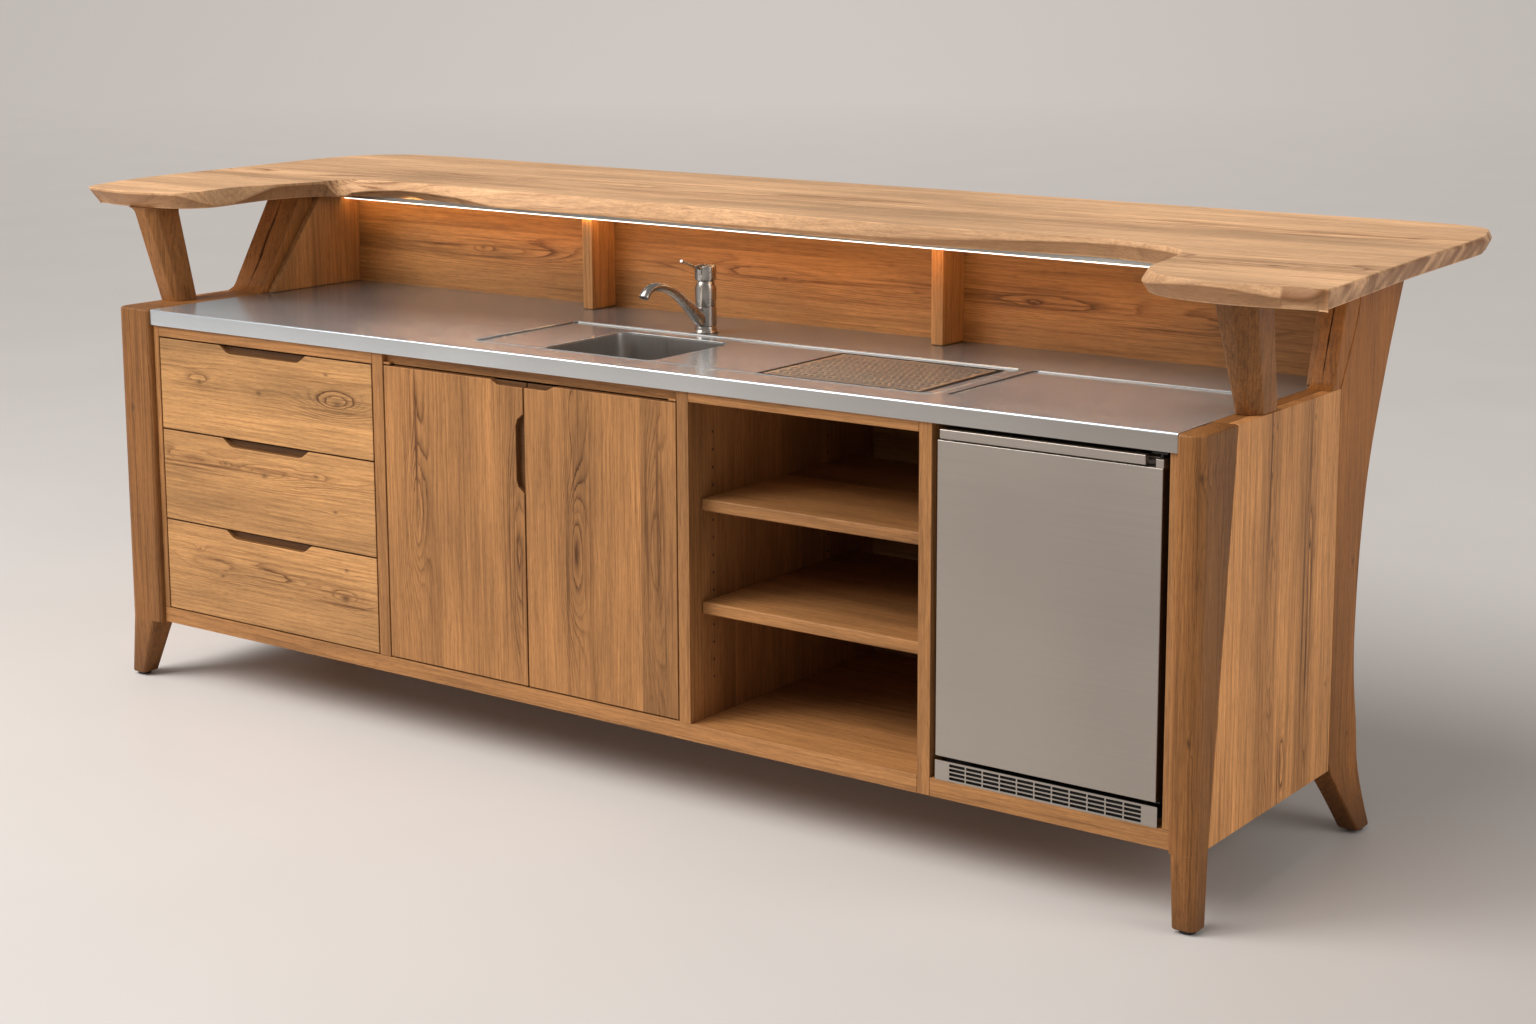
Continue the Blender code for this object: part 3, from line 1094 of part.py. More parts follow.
def ribs():
    """Two upright ribs between worktop and bar top, on the back panel."""
    rear = WORKTOP_DEPTH - SEAT
    for side, x in ((-1, LEFT_RIB_X), (1, RIGHT_RIB_X)):
        rib = part(side_name(side) + "_rib", boxes(
            (x - RIB_THICK / 2, x + RIB_THICK / 2, rear - RIB_DEPTH, rear, WORKTOP_Z + SEAT, BAR_UNDER - SEAT)),
            OAK)
        ease(rib)


def bar_top():
    """Live-edge slab, and the LED bar fixed under its inner edge."""
    part("bar_top", loft(SLAB_ROWS), OAK_PALE)
    left = Vector((LED_LEFT_END - WORKTOP_HALF, WORKTOP_DEPTH - LED_LEFT_GAP))
    right = Vector((WORKTOP_HALF - LED_RIGHT_END, WORKTOP_DEPTH - LED_RIGHT_GAP))
    across = Vector((left.y - right.y, right.x - left.x)).normalized() * LED_WIDTH / 2
    outline = (left - across, right - across, right + across, left + across)
    part("led_bar", plate(outline, "Z", BAR_UNDER - SEAT - LED_HEIGHT, BAR_UNDER - SEAT), LIGHT)


worktop()
sink()
drip_tray()
mixer_tap()
carcass()
drawers()
doors()
shelves()
cooler()
for end in (-1, 1):
    front_post(end)
    rear_leg(end)
    end_panel(end)
    struts(end)
    cheek(end)
ribs()
bar_top()
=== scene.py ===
"""Looks of the oak bar counter: finer pieces, timber, steel, light and the camera."""

import json
import math

import bmesh
import bpy
from mathutils import Matrix, Vector, noise


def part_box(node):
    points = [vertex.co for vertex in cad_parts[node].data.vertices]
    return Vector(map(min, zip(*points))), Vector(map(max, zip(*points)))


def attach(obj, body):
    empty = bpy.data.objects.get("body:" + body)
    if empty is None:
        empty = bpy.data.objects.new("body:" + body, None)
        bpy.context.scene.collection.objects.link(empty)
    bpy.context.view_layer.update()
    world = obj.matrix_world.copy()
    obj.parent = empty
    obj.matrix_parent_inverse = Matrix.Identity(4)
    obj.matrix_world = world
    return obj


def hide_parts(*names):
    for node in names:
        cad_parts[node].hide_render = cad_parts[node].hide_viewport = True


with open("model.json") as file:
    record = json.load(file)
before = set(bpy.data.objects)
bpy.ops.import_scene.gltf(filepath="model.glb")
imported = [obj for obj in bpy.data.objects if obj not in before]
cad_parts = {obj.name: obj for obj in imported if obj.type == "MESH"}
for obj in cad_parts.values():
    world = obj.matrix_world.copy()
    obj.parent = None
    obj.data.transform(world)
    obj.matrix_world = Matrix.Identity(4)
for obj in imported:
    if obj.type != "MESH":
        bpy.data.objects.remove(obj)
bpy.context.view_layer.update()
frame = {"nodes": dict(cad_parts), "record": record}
NODES = frame["nodes"]
BODY_OF = {
    node: body for body, names in frame["record"]["behaviour"]["bodies"].items() for node in names
}
sheet_low, sheet_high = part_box("worktop_sheet")

# All sizes below are in the layout of the source: X from the worktop's middle, Y from its front edge
SHIFT = Vector(((sheet_low.x + sheet_high.x) / 2, sheet_low.y, 0.0))
HALF = (sheet_high.x - sheet_low.x) / 2
TOP = sheet_high.z
BAR_LOW, BAR_HIGH = (corner.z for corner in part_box("bar_top"))


def layout_box(node):
    """Corners of a CAD node in layout coordinates."""
    low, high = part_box(node)
    return low - SHIFT, high - SHIFT


# Node trees
class Shader:
    """Short ways to add nodes to a material or a node group. Colours are red, green and blue."""

    def __init__(self, tree):
        self.tree = tree

    def add(self, kind, **settings):
        made = self.tree.nodes.new(kind)
        for key, value in settings.items():
            setattr(made, key, value)
        return made

    def feed(self, socket, value):
        if isinstance(value, bpy.types.NodeSocket):
            self.tree.links.new(value, socket)
        else:
            socket.default_value = (*value, 1.0) if socket.type == "RGBA" else value

    def feed_all(self, made, values):
        for socket, value in zip(made.inputs, values):
            self.feed(socket, value)
        return made.outputs

    def calc(self, operation, *values, clamp=False):
        made = self.add("ShaderNodeMath", operation=operation, use_clamp=clamp)
        return self.feed_all(made, values)[0]

    def times(self, a, b, clamp=False):
        return self.calc("MULTIPLY", a, b, clamp=clamp)

    def line(self, value, slope, start):
        return self.calc("MULTIPLY_ADD", value, slope, start)

    def sum(self, values):
        total = values[0]
        for value in values[1:]:
            total = self.calc("ADD", total, value)
        return total

    def vector(self, operation, *values):
        outputs = self.feed_all(self.add("ShaderNodeVectorMath", operation=operation), values)
        return outputs["Value" if operation == "DOT_PRODUCT" else "Vector"]

    def split(self, place):
        return list(self.feed_all(self.add("ShaderNodeSeparateXYZ"), [place]))

    def join(self, kind, values):
        return self.feed_all(self.add("ShaderNodeCombine" + kind), values)[0]

    def noise(self, place, scale, detail=2.0, rough=0.5, colour=False):
        """Noise with a scale on each axis, or one scale for all."""
        if isinstance(scale, float):
            scale = (scale,) * 3
        made = self.add("ShaderNodeTexNoise")
        self.feed(made.inputs["Vector"], self.vector("MULTIPLY", place, scale))
        for name, value in (("Scale", 1.0), ("Detail", detail), ("Roughness", rough)):
            made.inputs[name].default_value = value
        return made.outputs["Color" if colour else "Fac"]

    def chance(self, seed):
        """Random value and colour for a whole number."""
        made = self.add("ShaderNodeTexWhiteNoise", noise_dimensions="1D")
        self.feed(made.inputs["W"], seed)
        return made.outputs["Value"], made.outputs["Color"]

    def ramp(self, value, *stops):
        made = self.add("ShaderNodeValToRGB")
        elements = made.color_ramp.elements
        while len(elements) < len(stops):
            elements.new(1.0)
        for element, (position, level) in zip(elements, stops):
            element.position = position
            element.color = (level, level, level, 1.0)
        self.feed(made.inputs["Fac"], value)
        return made.outputs["Color"]

    def mix(self, factor, a, b, blend="MIX"):
        made = self.add("ShaderNodeMix", data_type="RGBA", blend_type=blend)
        for index, value in ((0, factor), (6, a), (7, b)):
            self.feed(made.inputs[index], value)
        return made.outputs[2]

    def span(self, value, low, high, to_low, to_high):
        return self.feed_all(self.add("ShaderNodeMapRange"), (value, low, high, to_low, to_high))[0]

    def bell(self, place, centre, widths, height):
        """Smooth bump of that height round a centre."""
        away = self.vector("MULTIPLY", self.vector("SUBTRACT", place, centre), widths)
        fall = self.times(self.vector("DOT_PRODUCT", away, away), -1.0)
        return self.times(self.calc("EXPONENT", fall), height)


class Surface(Shader):
    """Material with a Principled shader, and the layout coordinates of a point on the piece at rest."""

    def __init__(self, name):
        self.made = bpy.data.materials.new(name)
        self.made.use_nodes = True
        super().__init__(self.made.node_tree)
        self.inputs = self.tree.nodes["Principled BSDF"].inputs
        self.place = self.vector("SUBTRACT", self.add("ShaderNodeTexCoord").outputs["Object"], tuple(SHIFT))

    def finish(self, colour, rough, height=None, strength=0.0, depth=0.0, **constants):
        """The material, with a bump from height and constants on the shader's own sockets."""
        self.feed(self.inputs["Base Color"], colour)
        self.feed(self.inputs["Roughness"], rough)
        for name, value in constants.items():
            self.feed(self.inputs[name.replace("_", " ")], value)
        if height is not None:
            bump = self.add("ShaderNodeBump")
            bump.inputs["Strength"].default_value = strength
            bump.inputs["Distance"].default_value = depth
            self.feed(bump.inputs["Height"], height)
            self.feed(self.inputs["Normal"], bump.outputs["Normal"])
        return self.made


def toned(colour, share):
    """Colour made brighter or darker."""
    return tuple(c * share for c in colour)


# Materials
def oak_group():
    """Growth rings, fibres and pores of oak, from a place in board axes: along, across, into."""
    group = bpy.data.node_groups.new("oak_grain", "ShaderNodeTree")
    for name, kind in (("Place", "Vector"), ("Figure", "Float"), ("Eyes", "Float"), ("Ring", "Float"),
                       ("Contrast", "Float"), ("Light", "Color"), ("Dark", "Color")):
        group.interface.new_socket(name, in_out="INPUT", socket_type="NodeSocket" + kind)
    for name, kind in (("Colour", "Color"), ("Roughness", "Float"), ("Height", "Float")):
        group.interface.new_socket(name, in_out="OUTPUT", socket_type="NodeSocket" + kind)
    s = Shader(group)
    given = s.add("NodeGroupInput").outputs
    place = given["Place"]

    def grain(along, across, detail=2.0, rough=0.5):
        return s.noise(place, (along, across, across), detail, rough)

    _, across, into = s.split(place)
    drift = s.line(grain(0.9, 4.0), 0.070, -0.035)
    ripple = s.line(grain(7.0, 40.0, 3.0), 0.0080, -0.0040)
    frayed = s.line(grain(20.0, 320.0), 0.0046, -0.0023)
    field = s.sum([across, s.times(into, 0.45), drift, ripple, frayed, given["Figure"]])
    rings = s.calc("DIVIDE", field, given["Ring"])
    each, _ = s.chance(s.calc("FLOOR", rings))
    late = s.ramp(s.calc("FRACT", rings), (0.0, 0.10), (0.30, 0.04), (0.72, 0.50), (0.90, 1.0), (1.0, 0.15))
    late = s.times(late, s.line(each, 0.75, 0.25))
    patchy = s.span(grain(2.4, 18.0), 0.34, 0.62, 0.30, 1.0)
    late = s.times(late, s.times(patchy, given["Contrast"]), clamp=True)
    streaks = s.span(grain(2.4, 115.0, 4.0, 0.6), 0.48, 0.74, 0.0, 0.85)
    late = s.calc("MAXIMUM", late, s.times(streaks, given["Contrast"], clamp=True))
    fibre = grain(8.0, 210.0, 3.0, 0.65)
    pores = s.span(grain(42.0, 1000.0, 1.0), 0.56, 0.68, 0.0, 1.0)
    tone = s.line(fibre, 0.85, 0.575)
    for part, slope, start in ((grain(1.3, 8.0, 3.0), 1.30, 0.35), (grain(20.0, 640.0), 0.60, 0.70),
                               (pores, -0.26, 1.05)):
        tone = s.times(tone, s.line(part, slope, start))
    timber = s.mix(late, given["Light"], given["Dark"])
    colour = s.mix(1.0, timber, s.join("Color", [tone] * 3), "MULTIPLY")
    out = s.add("NodeGroupOutput").inputs
    s.feed(out["Colour"], s.mix(given["Eyes"], colour, (0.065, 0.026, 0.010)))
    s.feed(out["Roughness"], s.line(pores, 0.16, s.line(fibre, 0.16, 0.40)))
    s.feed(out["Height"], s.sum([s.times(fibre, 0.5), s.times(pores, -0.9), s.times(late, 0.5)]))
    return group


OAK = oak_group()


def oak(name, grain, across, light, dark, seed, figures=(), eyes=(), joints=(), ring=0.011, contrast=1.0,
        edge=0.0):
    """Oiled oak board.

    grain and across are the layout axes along and across the fibres. figures are cathedral ovals
    (along, across, length, width, rise), eyes are knots (along, across, size) and joints are the
    places across the board where it is glued up from strips. edge is how dark the marked places
    are: waney timber on the slab's live edge, and painted shade under that edge, on the edges of
    boards in the reveals, in the struts' cracks and on the feet.
    """
    s = Surface(name)
    axes = dict(zip("XYZ", s.split(s.place)))
    into = next(a for a in "XYZ" if a not in (grain, across))
    board = s.join("XYZ", [axes[axis] for axis in (grain, across, into)])
    wander = s.vector("SUBTRACT", s.noise(board, (3.5, 14.0, 14.0), colour=True), (0.5, 0.5, 0.5))
    bent = s.vector("ADD", board, s.vector("MULTIPLY", wander, (0.050, 0.012, 0.0)))
    bells = [s.bell(bent, (a, b, 0.0), (1 / length, 1 / width, 0.0), rise)
             for a, b, length, width, rise in figures]
    # A knot bends the rings over a longer stretch than its dark eye
    bells += [s.bell(bent, (a, b, 0.0), (0.2 / size, 0.5 / size, 0.0), size * 1.6) for a, b, size in eyes]
    marks = [s.bell(bent, (a, b, 0.0), (0.8 / size, 1.4 / size, 0.0), 0.62) for a, b, size in eyes]
    place = s.vector("ADD", board, (seed * 3.7, seed * 0.61, seed * 1.3))
    if joints:
        strip = s.sum([s.calc("GREATER_THAN", axes[across], joint) for joint in joints])
        value, colour = s.chance(s.calc("ADD", strip, seed + 0.5))
        place = s.vector("ADD", place, s.vector("MULTIPLY", colour, (4.0, 0.9, 0.5)))
        light = s.mix(value, toned(light, 0.84), toned(light, 1.12))
    figure = s.sum(bells) if bells else 0.0
    strong = s.times(figure, 30.0, clamp=True)
    timber = s.add("ShaderNodeGroup", node_tree=OAK)
    for socket, value in (
            ("Place", place), ("Figure", figure), ("Ring", ring), ("Light", light), ("Dark", dark),
            ("Eyes", s.calc("MINIMUM", s.sum(marks), 0.9) if marks else 0.0),
            ("Contrast", s.line(strong, contrast * 0.9, contrast * 0.6))):
        s.feed(timber.inputs[socket], value)
    colour = timber.outputs["Colour"]
    # Darker where the mesh marks it: waney timber, and painted shade
    if edge:
        wane_and_painted_shade = s.add("ShaderNodeAttribute", attribute_name="wane_and_painted_shade").outputs["Fac"]
        colour = s.mix(s.times(wane_and_painted_shade, edge), colour, dark)
    return s.finish(colour, timber.outputs["Roughness"], timber.outputs["Height"], 0.35, 0.0006,
                    Specular_IOR_Level=0.24)


# Darker steel tones painted into the worktop: painted reflection at the back, painted shade on the recess
# walls and the apron
BACK_PAINTED_SHADE, WALL_PAINTED_SHADE, APRON_PAINTED_SHADE = (0.267, 0.276, 0.285), (0.130, 0.126, 0.122), (0.30, 0.275, 0.25)
WALL_MIDDLE, WALL_HALF = 0.0016, 0.0012     # of a recess wall, below the worktop
APRON_ENDS = (-1.3, 1.3)


def worktop_painted_shade(s, tone):
    """Painted shade and reflection: worktop tone dimmer at the back, on the recess walls, and along the front
    apron towards the right.
    """
    x, y, z = s.split(s.place)
    # Painted reflection: darker towards the back, where the back panel would show in the steel
    tone = s.mix(s.span(s.line(x, -0.12, y), 0.18, 0.48, 0.0, 1.0), tone, BACK_PAINTED_SHADE)
    # Painted shade on the recess walls, which dims their highlights
    wall = s.times(s.calc("COMPARE", z, TOP - WALL_MIDDLE, WALL_HALF), s.calc("GREATER_THAN", y, 0.05))
    tone = s.mix(wall, tone, WALL_PAINTED_SHADE)
    # Painted shade along the front apron, stronger towards the right
    apron = s.times(s.calc("LESS_THAN", z, TOP - 0.004), s.span(x, *APRON_ENDS, 0.22, 1.0))
    return s.mix(apron, tone, APRON_PAINTED_SHADE)


def steel(name, colour, rough, brush, fine=0.5, streak=0.10, stretch=0.0, haze=0.0, shade=None):
    """Brushed or satin steel. brush gives the noise scale on each axis: small along the brushing.

    stretch draws the highlights out across brushing that runs along X. haze is the share of dull light.
    shade, when given, paints shade and reflection into the tone from place to place.
    """
    s = Surface(name)
    lines = s.noise(s.place, brush)
    broad = s.noise(s.place, tuple(min(b, 6.0) for b in brush))
    tone = s.mix(lines, toned(colour, 0.86), colour)
    # Painted shade and reflection, from the function given
    if shade:
        tone = shade(s, tone)
    soft = s.mix(s.noise(s.place, 2.2, 1.0), (0.80, 0.80, 0.80), (1.20, 1.20, 1.20))
    tone = s.mix(1.0, tone, soft, "MULTIPLY")
    varied = s.line(broad, 0.10, s.calc("ADD", s.line(lines, streak, rough - streak / 2), -0.05))
    if stretch:
        facing = s.add("ShaderNodeNewGeometry").outputs["Normal"]
        s.feed(s.inputs["Tangent"], s.vector("CROSS_PRODUCT", facing, (1.0, 0.0, 0.0)))
    return s.finish(tone, varied, lines, fine, 0.00006, Metallic=1.0 - haze, Anisotropic=stretch)


def speckled(name, colour, rough, scale, spread):
    """Plain moulded or painted surface with a fine mottle."""
    s = Surface(name)
    dots = s.noise(s.place, scale, 3.0)
    return s.finish(s.mix(dots, toned(colour, 1.0 - spread), colour), s.line(dots, 0.16, rough - 0.08),
                    dots, 0.2, 0.0003)


def plywood(name):
    """Birch plywood: pale faces with a long soft grain and layers through the thickness."""
    s = Surface(name)
    waves = s.ramp(s.noise(s.place, (2.0, 5.0, 16.0), 4.0), (0.3, 0.0), (0.7, 1.0))
    flecks = s.noise(s.place, (60.0, 60.0, 700.0))
    colour = s.mix(waves, (0.56, 0.38, 0.20), (0.68, 0.50, 0.30))
    return s.finish(s.mix(s.times(flecks, 0.35), colour, (0.40, 0.25, 0.12)), s.line(flecks, 0.2, 0.42))


def glow(name, colour, strength):
    """Lit diffuser of the light bar."""
    s = Surface(name)
    grains = s.noise(s.place, 40.0, 1.0)
    return s.finish(s.mix(grains, (0.80, 0.76, 0.68), (0.95, 0.92, 0.86)), 0.4, Emission_Color=colour,
                    Emission_Strength=strength)


def lined(name, low, high):
    """Dark painted shell with a white lining inside a box of the layout."""
    s = Surface(name)
    inside = 1.0
    for value, a, b in zip(s.split(s.place), low, high):
        away = s.calc("ABSOLUTE", s.calc("SUBTRACT", value, (a + b) / 2))
        inside = s.times(inside, s.calc("LESS_THAN", away, (b - a) / 2))
    dots = s.noise(s.place, 90.0)
    dark = s.mix(dots, (0.012, 0.011, 0.010), (0.020, 0.018, 0.017))
    white = s.mix(dots, (0.72, 0.72, 0.70), (0.80, 0.80, 0.78))
    return s.finish(s.mix(inside, dark, white), s.line(dots, 0.15, 0.40))


# Timber
# The lower two drawers take a darker copy of the honey tone: painted shade, darker towards the bottom
HONEY, HONEY_SHADED, HONEY_DARK = (0.56, 0.292, 0.112), (0.47, 0.243, 0.093), (0.135, 0.053, 0.016)
TAN, TAN_DARK = (0.375, 0.174, 0.061), (0.105, 0.040, 0.012)
FRAME, LEG, FRAME_DARK = (0.270, 0.113, 0.033), (0.350, 0.136, 0.033), (0.060, 0.021, 0.006)
# The dark tone of the boards behind the finger notches is painted shade
# The end panels' tone is TAN made brighter: painted light, as the lamps reach those sides less
PANEL, END_LIT, NOTCH_SHADE = (0.29, 0.138, 0.048), (0.64, 0.300, 0.108), (0.120, 0.052, 0.017)
PALE, PALE_DARK = (0.77, 0.462, 0.248), (0.23, 0.098, 0.036)
# Painted shade on the edges of drawer fronts and doors, as in the reveals between them
FRONT_EDGE_SHADE = 0.7         # how dark the edges of drawer fronts and doors are

oak_drawers = {
    "top": oak(
        "oak_top_drawer", "X", "Z", HONEY, HONEY_DARK, 1.0, edge=FRONT_EDGE_SHADE,
        figures=((-1.18, 0.745, 0.10, 0.020, 0.030), (-0.735, 0.735, 0.10, 0.030, 0.050)),
        eyes=((-1.175, 0.742, 0.007), (-0.722, 0.735, 0.010), (-0.975, 0.735, 0.006), (-0.75, 0.80, 0.005))),
    "middle": oak(
        "oak_middle_drawer", "X", "Z", HONEY_SHADED, HONEY_DARK, 2.0, edge=FRONT_EDGE_SHADE,
        figures=((-0.96, 0.548, 0.16, 0.028, 0.060), (-1.22, 0.555, 0.12, 0.025, 0.040),
                 (-0.72, 0.560, 0.16, 0.020, 0.030)),
        eyes=((-0.965, 0.545, 0.009), (-1.10, 0.56, 0.005), (-0.80, 0.565, 0.005), (-0.735, 0.49, 0.005))),
    "bottom": oak(
        "oak_bottom_drawer", "X", "Z", HONEY_SHADED, HONEY_DARK, 3.0, edge=FRONT_EDGE_SHADE,
        figures=((-1.16, 0.305, 0.16, 0.030, 0.050), (-0.93, 0.305, 0.12, 0.022, 0.040),
                 (-0.72, 0.295, 0.10, 0.026, 0.050)),
        eyes=((-0.715, 0.295, 0.009), (-1.12, 0.29, 0.006), (-0.71, 0.36, 0.005), (-1.19, 0.345, 0.004))),
}
oak_left_door = oak(
    "oak_left_door", "Z", "X", TAN, TAN_DARK, 4.0, edge=FRONT_EDGE_SHADE, joints=(-0.42, -0.265), ring=0.010,
    figures=((0.52, -0.492, 0.17, 0.034, 0.075), (0.80, -0.492, 0.12, 0.020, 0.030),
             (0.48, -0.205, 0.20, 0.030, 0.050)))
oak_right_door = oak(
    "oak_right_door", "Z", "X", TAN, TAN_DARK, 5.0, edge=FRONT_EDGE_SHADE, joints=(-0.10, 0.06, 0.135), ring=0.010,
    figures=((0.49, -0.045, 0.17, 0.036, 0.085), (0.80, -0.045, 0.08, 0.024, 0.030),
             (0.52, 0.165, 0.24, 0.034, 0.075)))
# Brighter end panels: painted light
oak_end = oak(
    "oak_end_panel", "Z", "Y", END_LIT, TAN_DARK, 6.0, contrast=1.05, joints=(0.16, 0.235, 0.315, 0.40, 0.49),
    ring=0.007,
    figures=((0.50, 0.275, 0.26, 0.026, 0.060), (0.84, 0.275, 0.10, 0.016, 0.040),
             (0.45, 0.445, 0.34, 0.024, 0.050), (0.22, 0.345, 0.10, 0.020, 0.040)),
    eyes=((0.865, 0.46, 0.005), (0.33, 0.545, 0.004)))
oak_rails = oak("oak_rails", "X", "Z", TAN, TAN_DARK, 7.0)
oak_stiles = oak("oak_stiles", "Z", "X", TAN, TAN_DARK, 8.0)
oak_sides = oak("oak_sides", "Z", "Y", TAN, TAN_DARK, 9.0, joints=(0.16, 0.33, 0.50))
oak_shelf = oak("oak_shelf", "X", "Y", TAN, TAN_DARK, 10.0, joints=(0.18, 0.33, 0.47))
oak_back = oak(
    "oak_back", "X", "Z", PANEL, TAN_DARK, 11.0, joints=(0.30, 0.46, 0.62, 0.78, 0.985, 1.055), ring=0.012,
    contrast=0.95,
    figures=((-0.85, 1.00, 0.30, 0.030, 0.060), (-0.05, 1.00, 0.22, 0.030, 0.060),
             (0.30, 0.99, 0.20, 0.028, 0.060), (0.72, 0.99, 0.24, 0.030, 0.060),
             (1.05, 0.97, 0.16, 0.026, 0.050)),
    eyes=((-0.88, 1.01, 0.007), (0.66, 0.995, 0.006), (0.02, 1.0, 0.006)))
# On posts and legs, edge darkens the feet towards the floor: painted shade
oak_frame = oak("oak_frame_post", "Z", "X", FRAME, FRAME_DARK, 12.0, ring=0.007, contrast=1.3, edge=0.5,
                eyes=((0.83, 1.37, 0.006), (0.66, -1.39, 0.006), (0.36, 1.36, 0.005)))
oak_legs = oak("oak_frame_leg", "Z", "Y", LEG, FRAME_DARK, 13.0, ring=0.008, contrast=1.2, edge=0.8,
               eyes=((0.55, 0.66, 0.006), (0.20, 0.66, 0.005)))
oak_caps = oak("oak_frame_cap", "Y", "X", FRAME, FRAME_DARK, 14.0, ring=0.012)
oak_slab = oak(
    "oak_bar_top_slab", "X", "Y", PALE, PALE_DARK, 15.0, ring=0.024, contrast=0.95, edge=0.72,
    figures=((-0.70, 0.80, 0.60, 0.080, 0.12), (0.55, 0.78, 0.70, 0.070, 0.12),
             (1.36, 0.27, 0.24, 0.070, 0.14), (-1.5, 0.60, 0.40, 0.080, 0.10)),
    eyes=((1.37, 0.265, 0.013), (-0.55, 0.86, 0.008), (1.42, 0.80, 0.008)))
# On the rear struts, edge darkens the crack: painted shade
oak_struts = oak("oak_frame_strut", "Z", "X", LEG, FRAME_DARK, 16.0, ring=0.008, contrast=1.2, edge=0.92)
# Boards behind the finger notches: painted shade
oak_notch_shade = oak("oak_painted_notch_shade", "X", "Z", NOTCH_SHADE, TAN_DARK, 17.0)
ply = plywood("birch_ply_faces")

# Steel and the rest
ALONG_X = (2.0, 700.0, 700.0)          # brushing
FINE_ALONG_X = (2.0, 500.0, 500.0)
EVEN = (60.0, 60.0, 60.0)
steel_top = steel("brushed_steel_top", (0.72, 0.78, 0.83), 0.20, ALONG_X, fine=0.15, streak=0.05,
                  stretch=0.40, haze=0.28, shade=worktop_painted_shade)
steel_door = steel("brushed_steel_door", (0.37, 0.328, 0.292), 0.36, ALONG_X, stretch=0.6)
steel_bowl = steel("brushed_steel_bowl", (0.58, 0.555, 0.53), 0.30, (300.0, 300.0, 3.0))
steel_grille = steel("perforated_steel", (0.95, 0.90, 0.83), 0.36, FINE_ALONG_X)
# Near-black steel for the drip tray under the grille: painted shade
steel_tray = steel("shaded_steel_tray", (0.06, 0.055, 0.05), 0.40, EVEN)
polished = steel("polished_steel_tap", (0.50, 0.46, 0.425), 0.27, (500.0, 500.0, 30.0), fine=0.2, streak=0.05)
racks = steel("zinc_plated_rack", (0.50, 0.50, 0.49), 0.36, EVEN)
channel = steel("light_channel", (0.45, 0.43, 0.40), 0.40, FINE_ALONG_X)
liner = speckled("white_liner_moulded", (0.78, 0.78, 0.76), 0.38, 60.0, 0.05)
rubber = speckled("black_rubber_pad", (0.022, 0.021, 0.020), 0.72, 240.0, 0.4)
# Near-black look for the sheet behind the vent's slots: painted shadow
shadow = speckled("vent_painted_shadow", (0.006, 0.0055, 0.005), 0.85, 200.0, 0.4)
glass = speckled("shelf_glass_plate", (0.70, 0.80, 0.77), 0.12, 20.0, 0.05)
cabinet = lined("cooler_shell", (0.8635, 0.0500, 0.2595), (1.2685, 0.5435, 0.8240))
led_line = glow("led_line_diffuser", (1.0, 0.93, 0.82), 2.0)
led_back = glow("led_back_diffuser", (1.0, 0.62, 0.25), 20.0)

# CAD nodes that are shown as they are
for look, names in (
        (cabinet, "cooler_cabinet"), (glass, "cooler_shelf"), (steel_tray, "drip_tray"),
        (polished, "sink_waste"), (ply, "worktop_core"), (racks, "left_runner_rack right_runner_rack"),
        (rubber, "cooler_gasket left_front_glide right_front_glide left_rear_glide right_rear_glide")):
    for node_name in names.split():
        slots = NODES[node_name].data.materials
        slots.clear()
        slots.append(look)


# Mesh helpers
def rounded(x0, x1, y0, y1, radii, steps):
    """Counter-clockwise outline of a box with a radius for each corner, from (x0, y0) on."""
    corners = ((x0, y0, 1, 1, 180), (x1, y0, -1, 1, 270), (x1, y1, -1, -1, 0), (x0, y1, 1, -1, 90))
    outline = []
    for (x, y, sx, sy, start), radius in zip(corners, radii):
        for k in range(steps + 1):
            angle = math.radians(start + 90 * k / steps)
            outline.append(Vector((x + sx * radius + radius * math.cos(angle),
                                   y + sy * radius + radius * math.sin(angle))))
    return outline


def turns(steps):
    """Cosine and sine of even steps round a circle."""
    angles = [2 * math.pi * k / steps for k in range(steps)]
    return [(math.cos(angle), math.sin(angle)) for angle in angles]


def circle(centre, radius, steps):
    """Round outline."""
    return [Vector((centre[0] + radius * c, centre[1] + radius * s)) for c, s in turns(steps)]


def corner_curve(before, corner, after, reach):
    """Points of a short curve in place of a corner."""
    back, ahead = before - corner, after - corner
    a = corner + back.normalized() * min(reach, back.length * 0.45)
    b = corner + ahead.normalized() * min(reach, ahead.length * 0.45)
    return [a * (1 - t) ** 2 + corner * 2 * t * (1 - t) + b * t * t for t in (0.0, 1 / 3, 2 / 3, 1.0)]


def eased(outline, reach):
    """The outline with each corner turned into a short curve."""
    made = []
    for i, corner in enumerate(outline):
        made += corner_curve(outline[i - 1], corner, outline[(i + 1) % len(outline)], reach)
    return made


def cut_corners(points, times):
    """Open line with its corners cut again and again, which ends as a smooth curve inside them."""
    line = [Vector(p) for p in points]
    for _ in range(times):
        made = [line[0]]
        for a, b in zip(line, line[1:]):
            made += [a * 0.75 + b * 0.25, a * 0.25 + b * 0.75]
        line = made + [line[-1]]
    return line


def smooth_loop(points, samples):
    """Closed Catmull-Rom curve through the points."""
    count = len(points)
    loop = []
    for i in range(count):
        a, b, c, d = (Vector(points[(i + k) % count]) for k in (-1, 0, 1, 2))
        for k in range(samples):
            t = k / samples
            loop.append(0.5 * (2 * b + (c - a) * t + (2 * a - 5 * b + 4 * c - d) * t * t
                               + (3 * b - a - 3 * c + d) * t ** 3))
    return loop


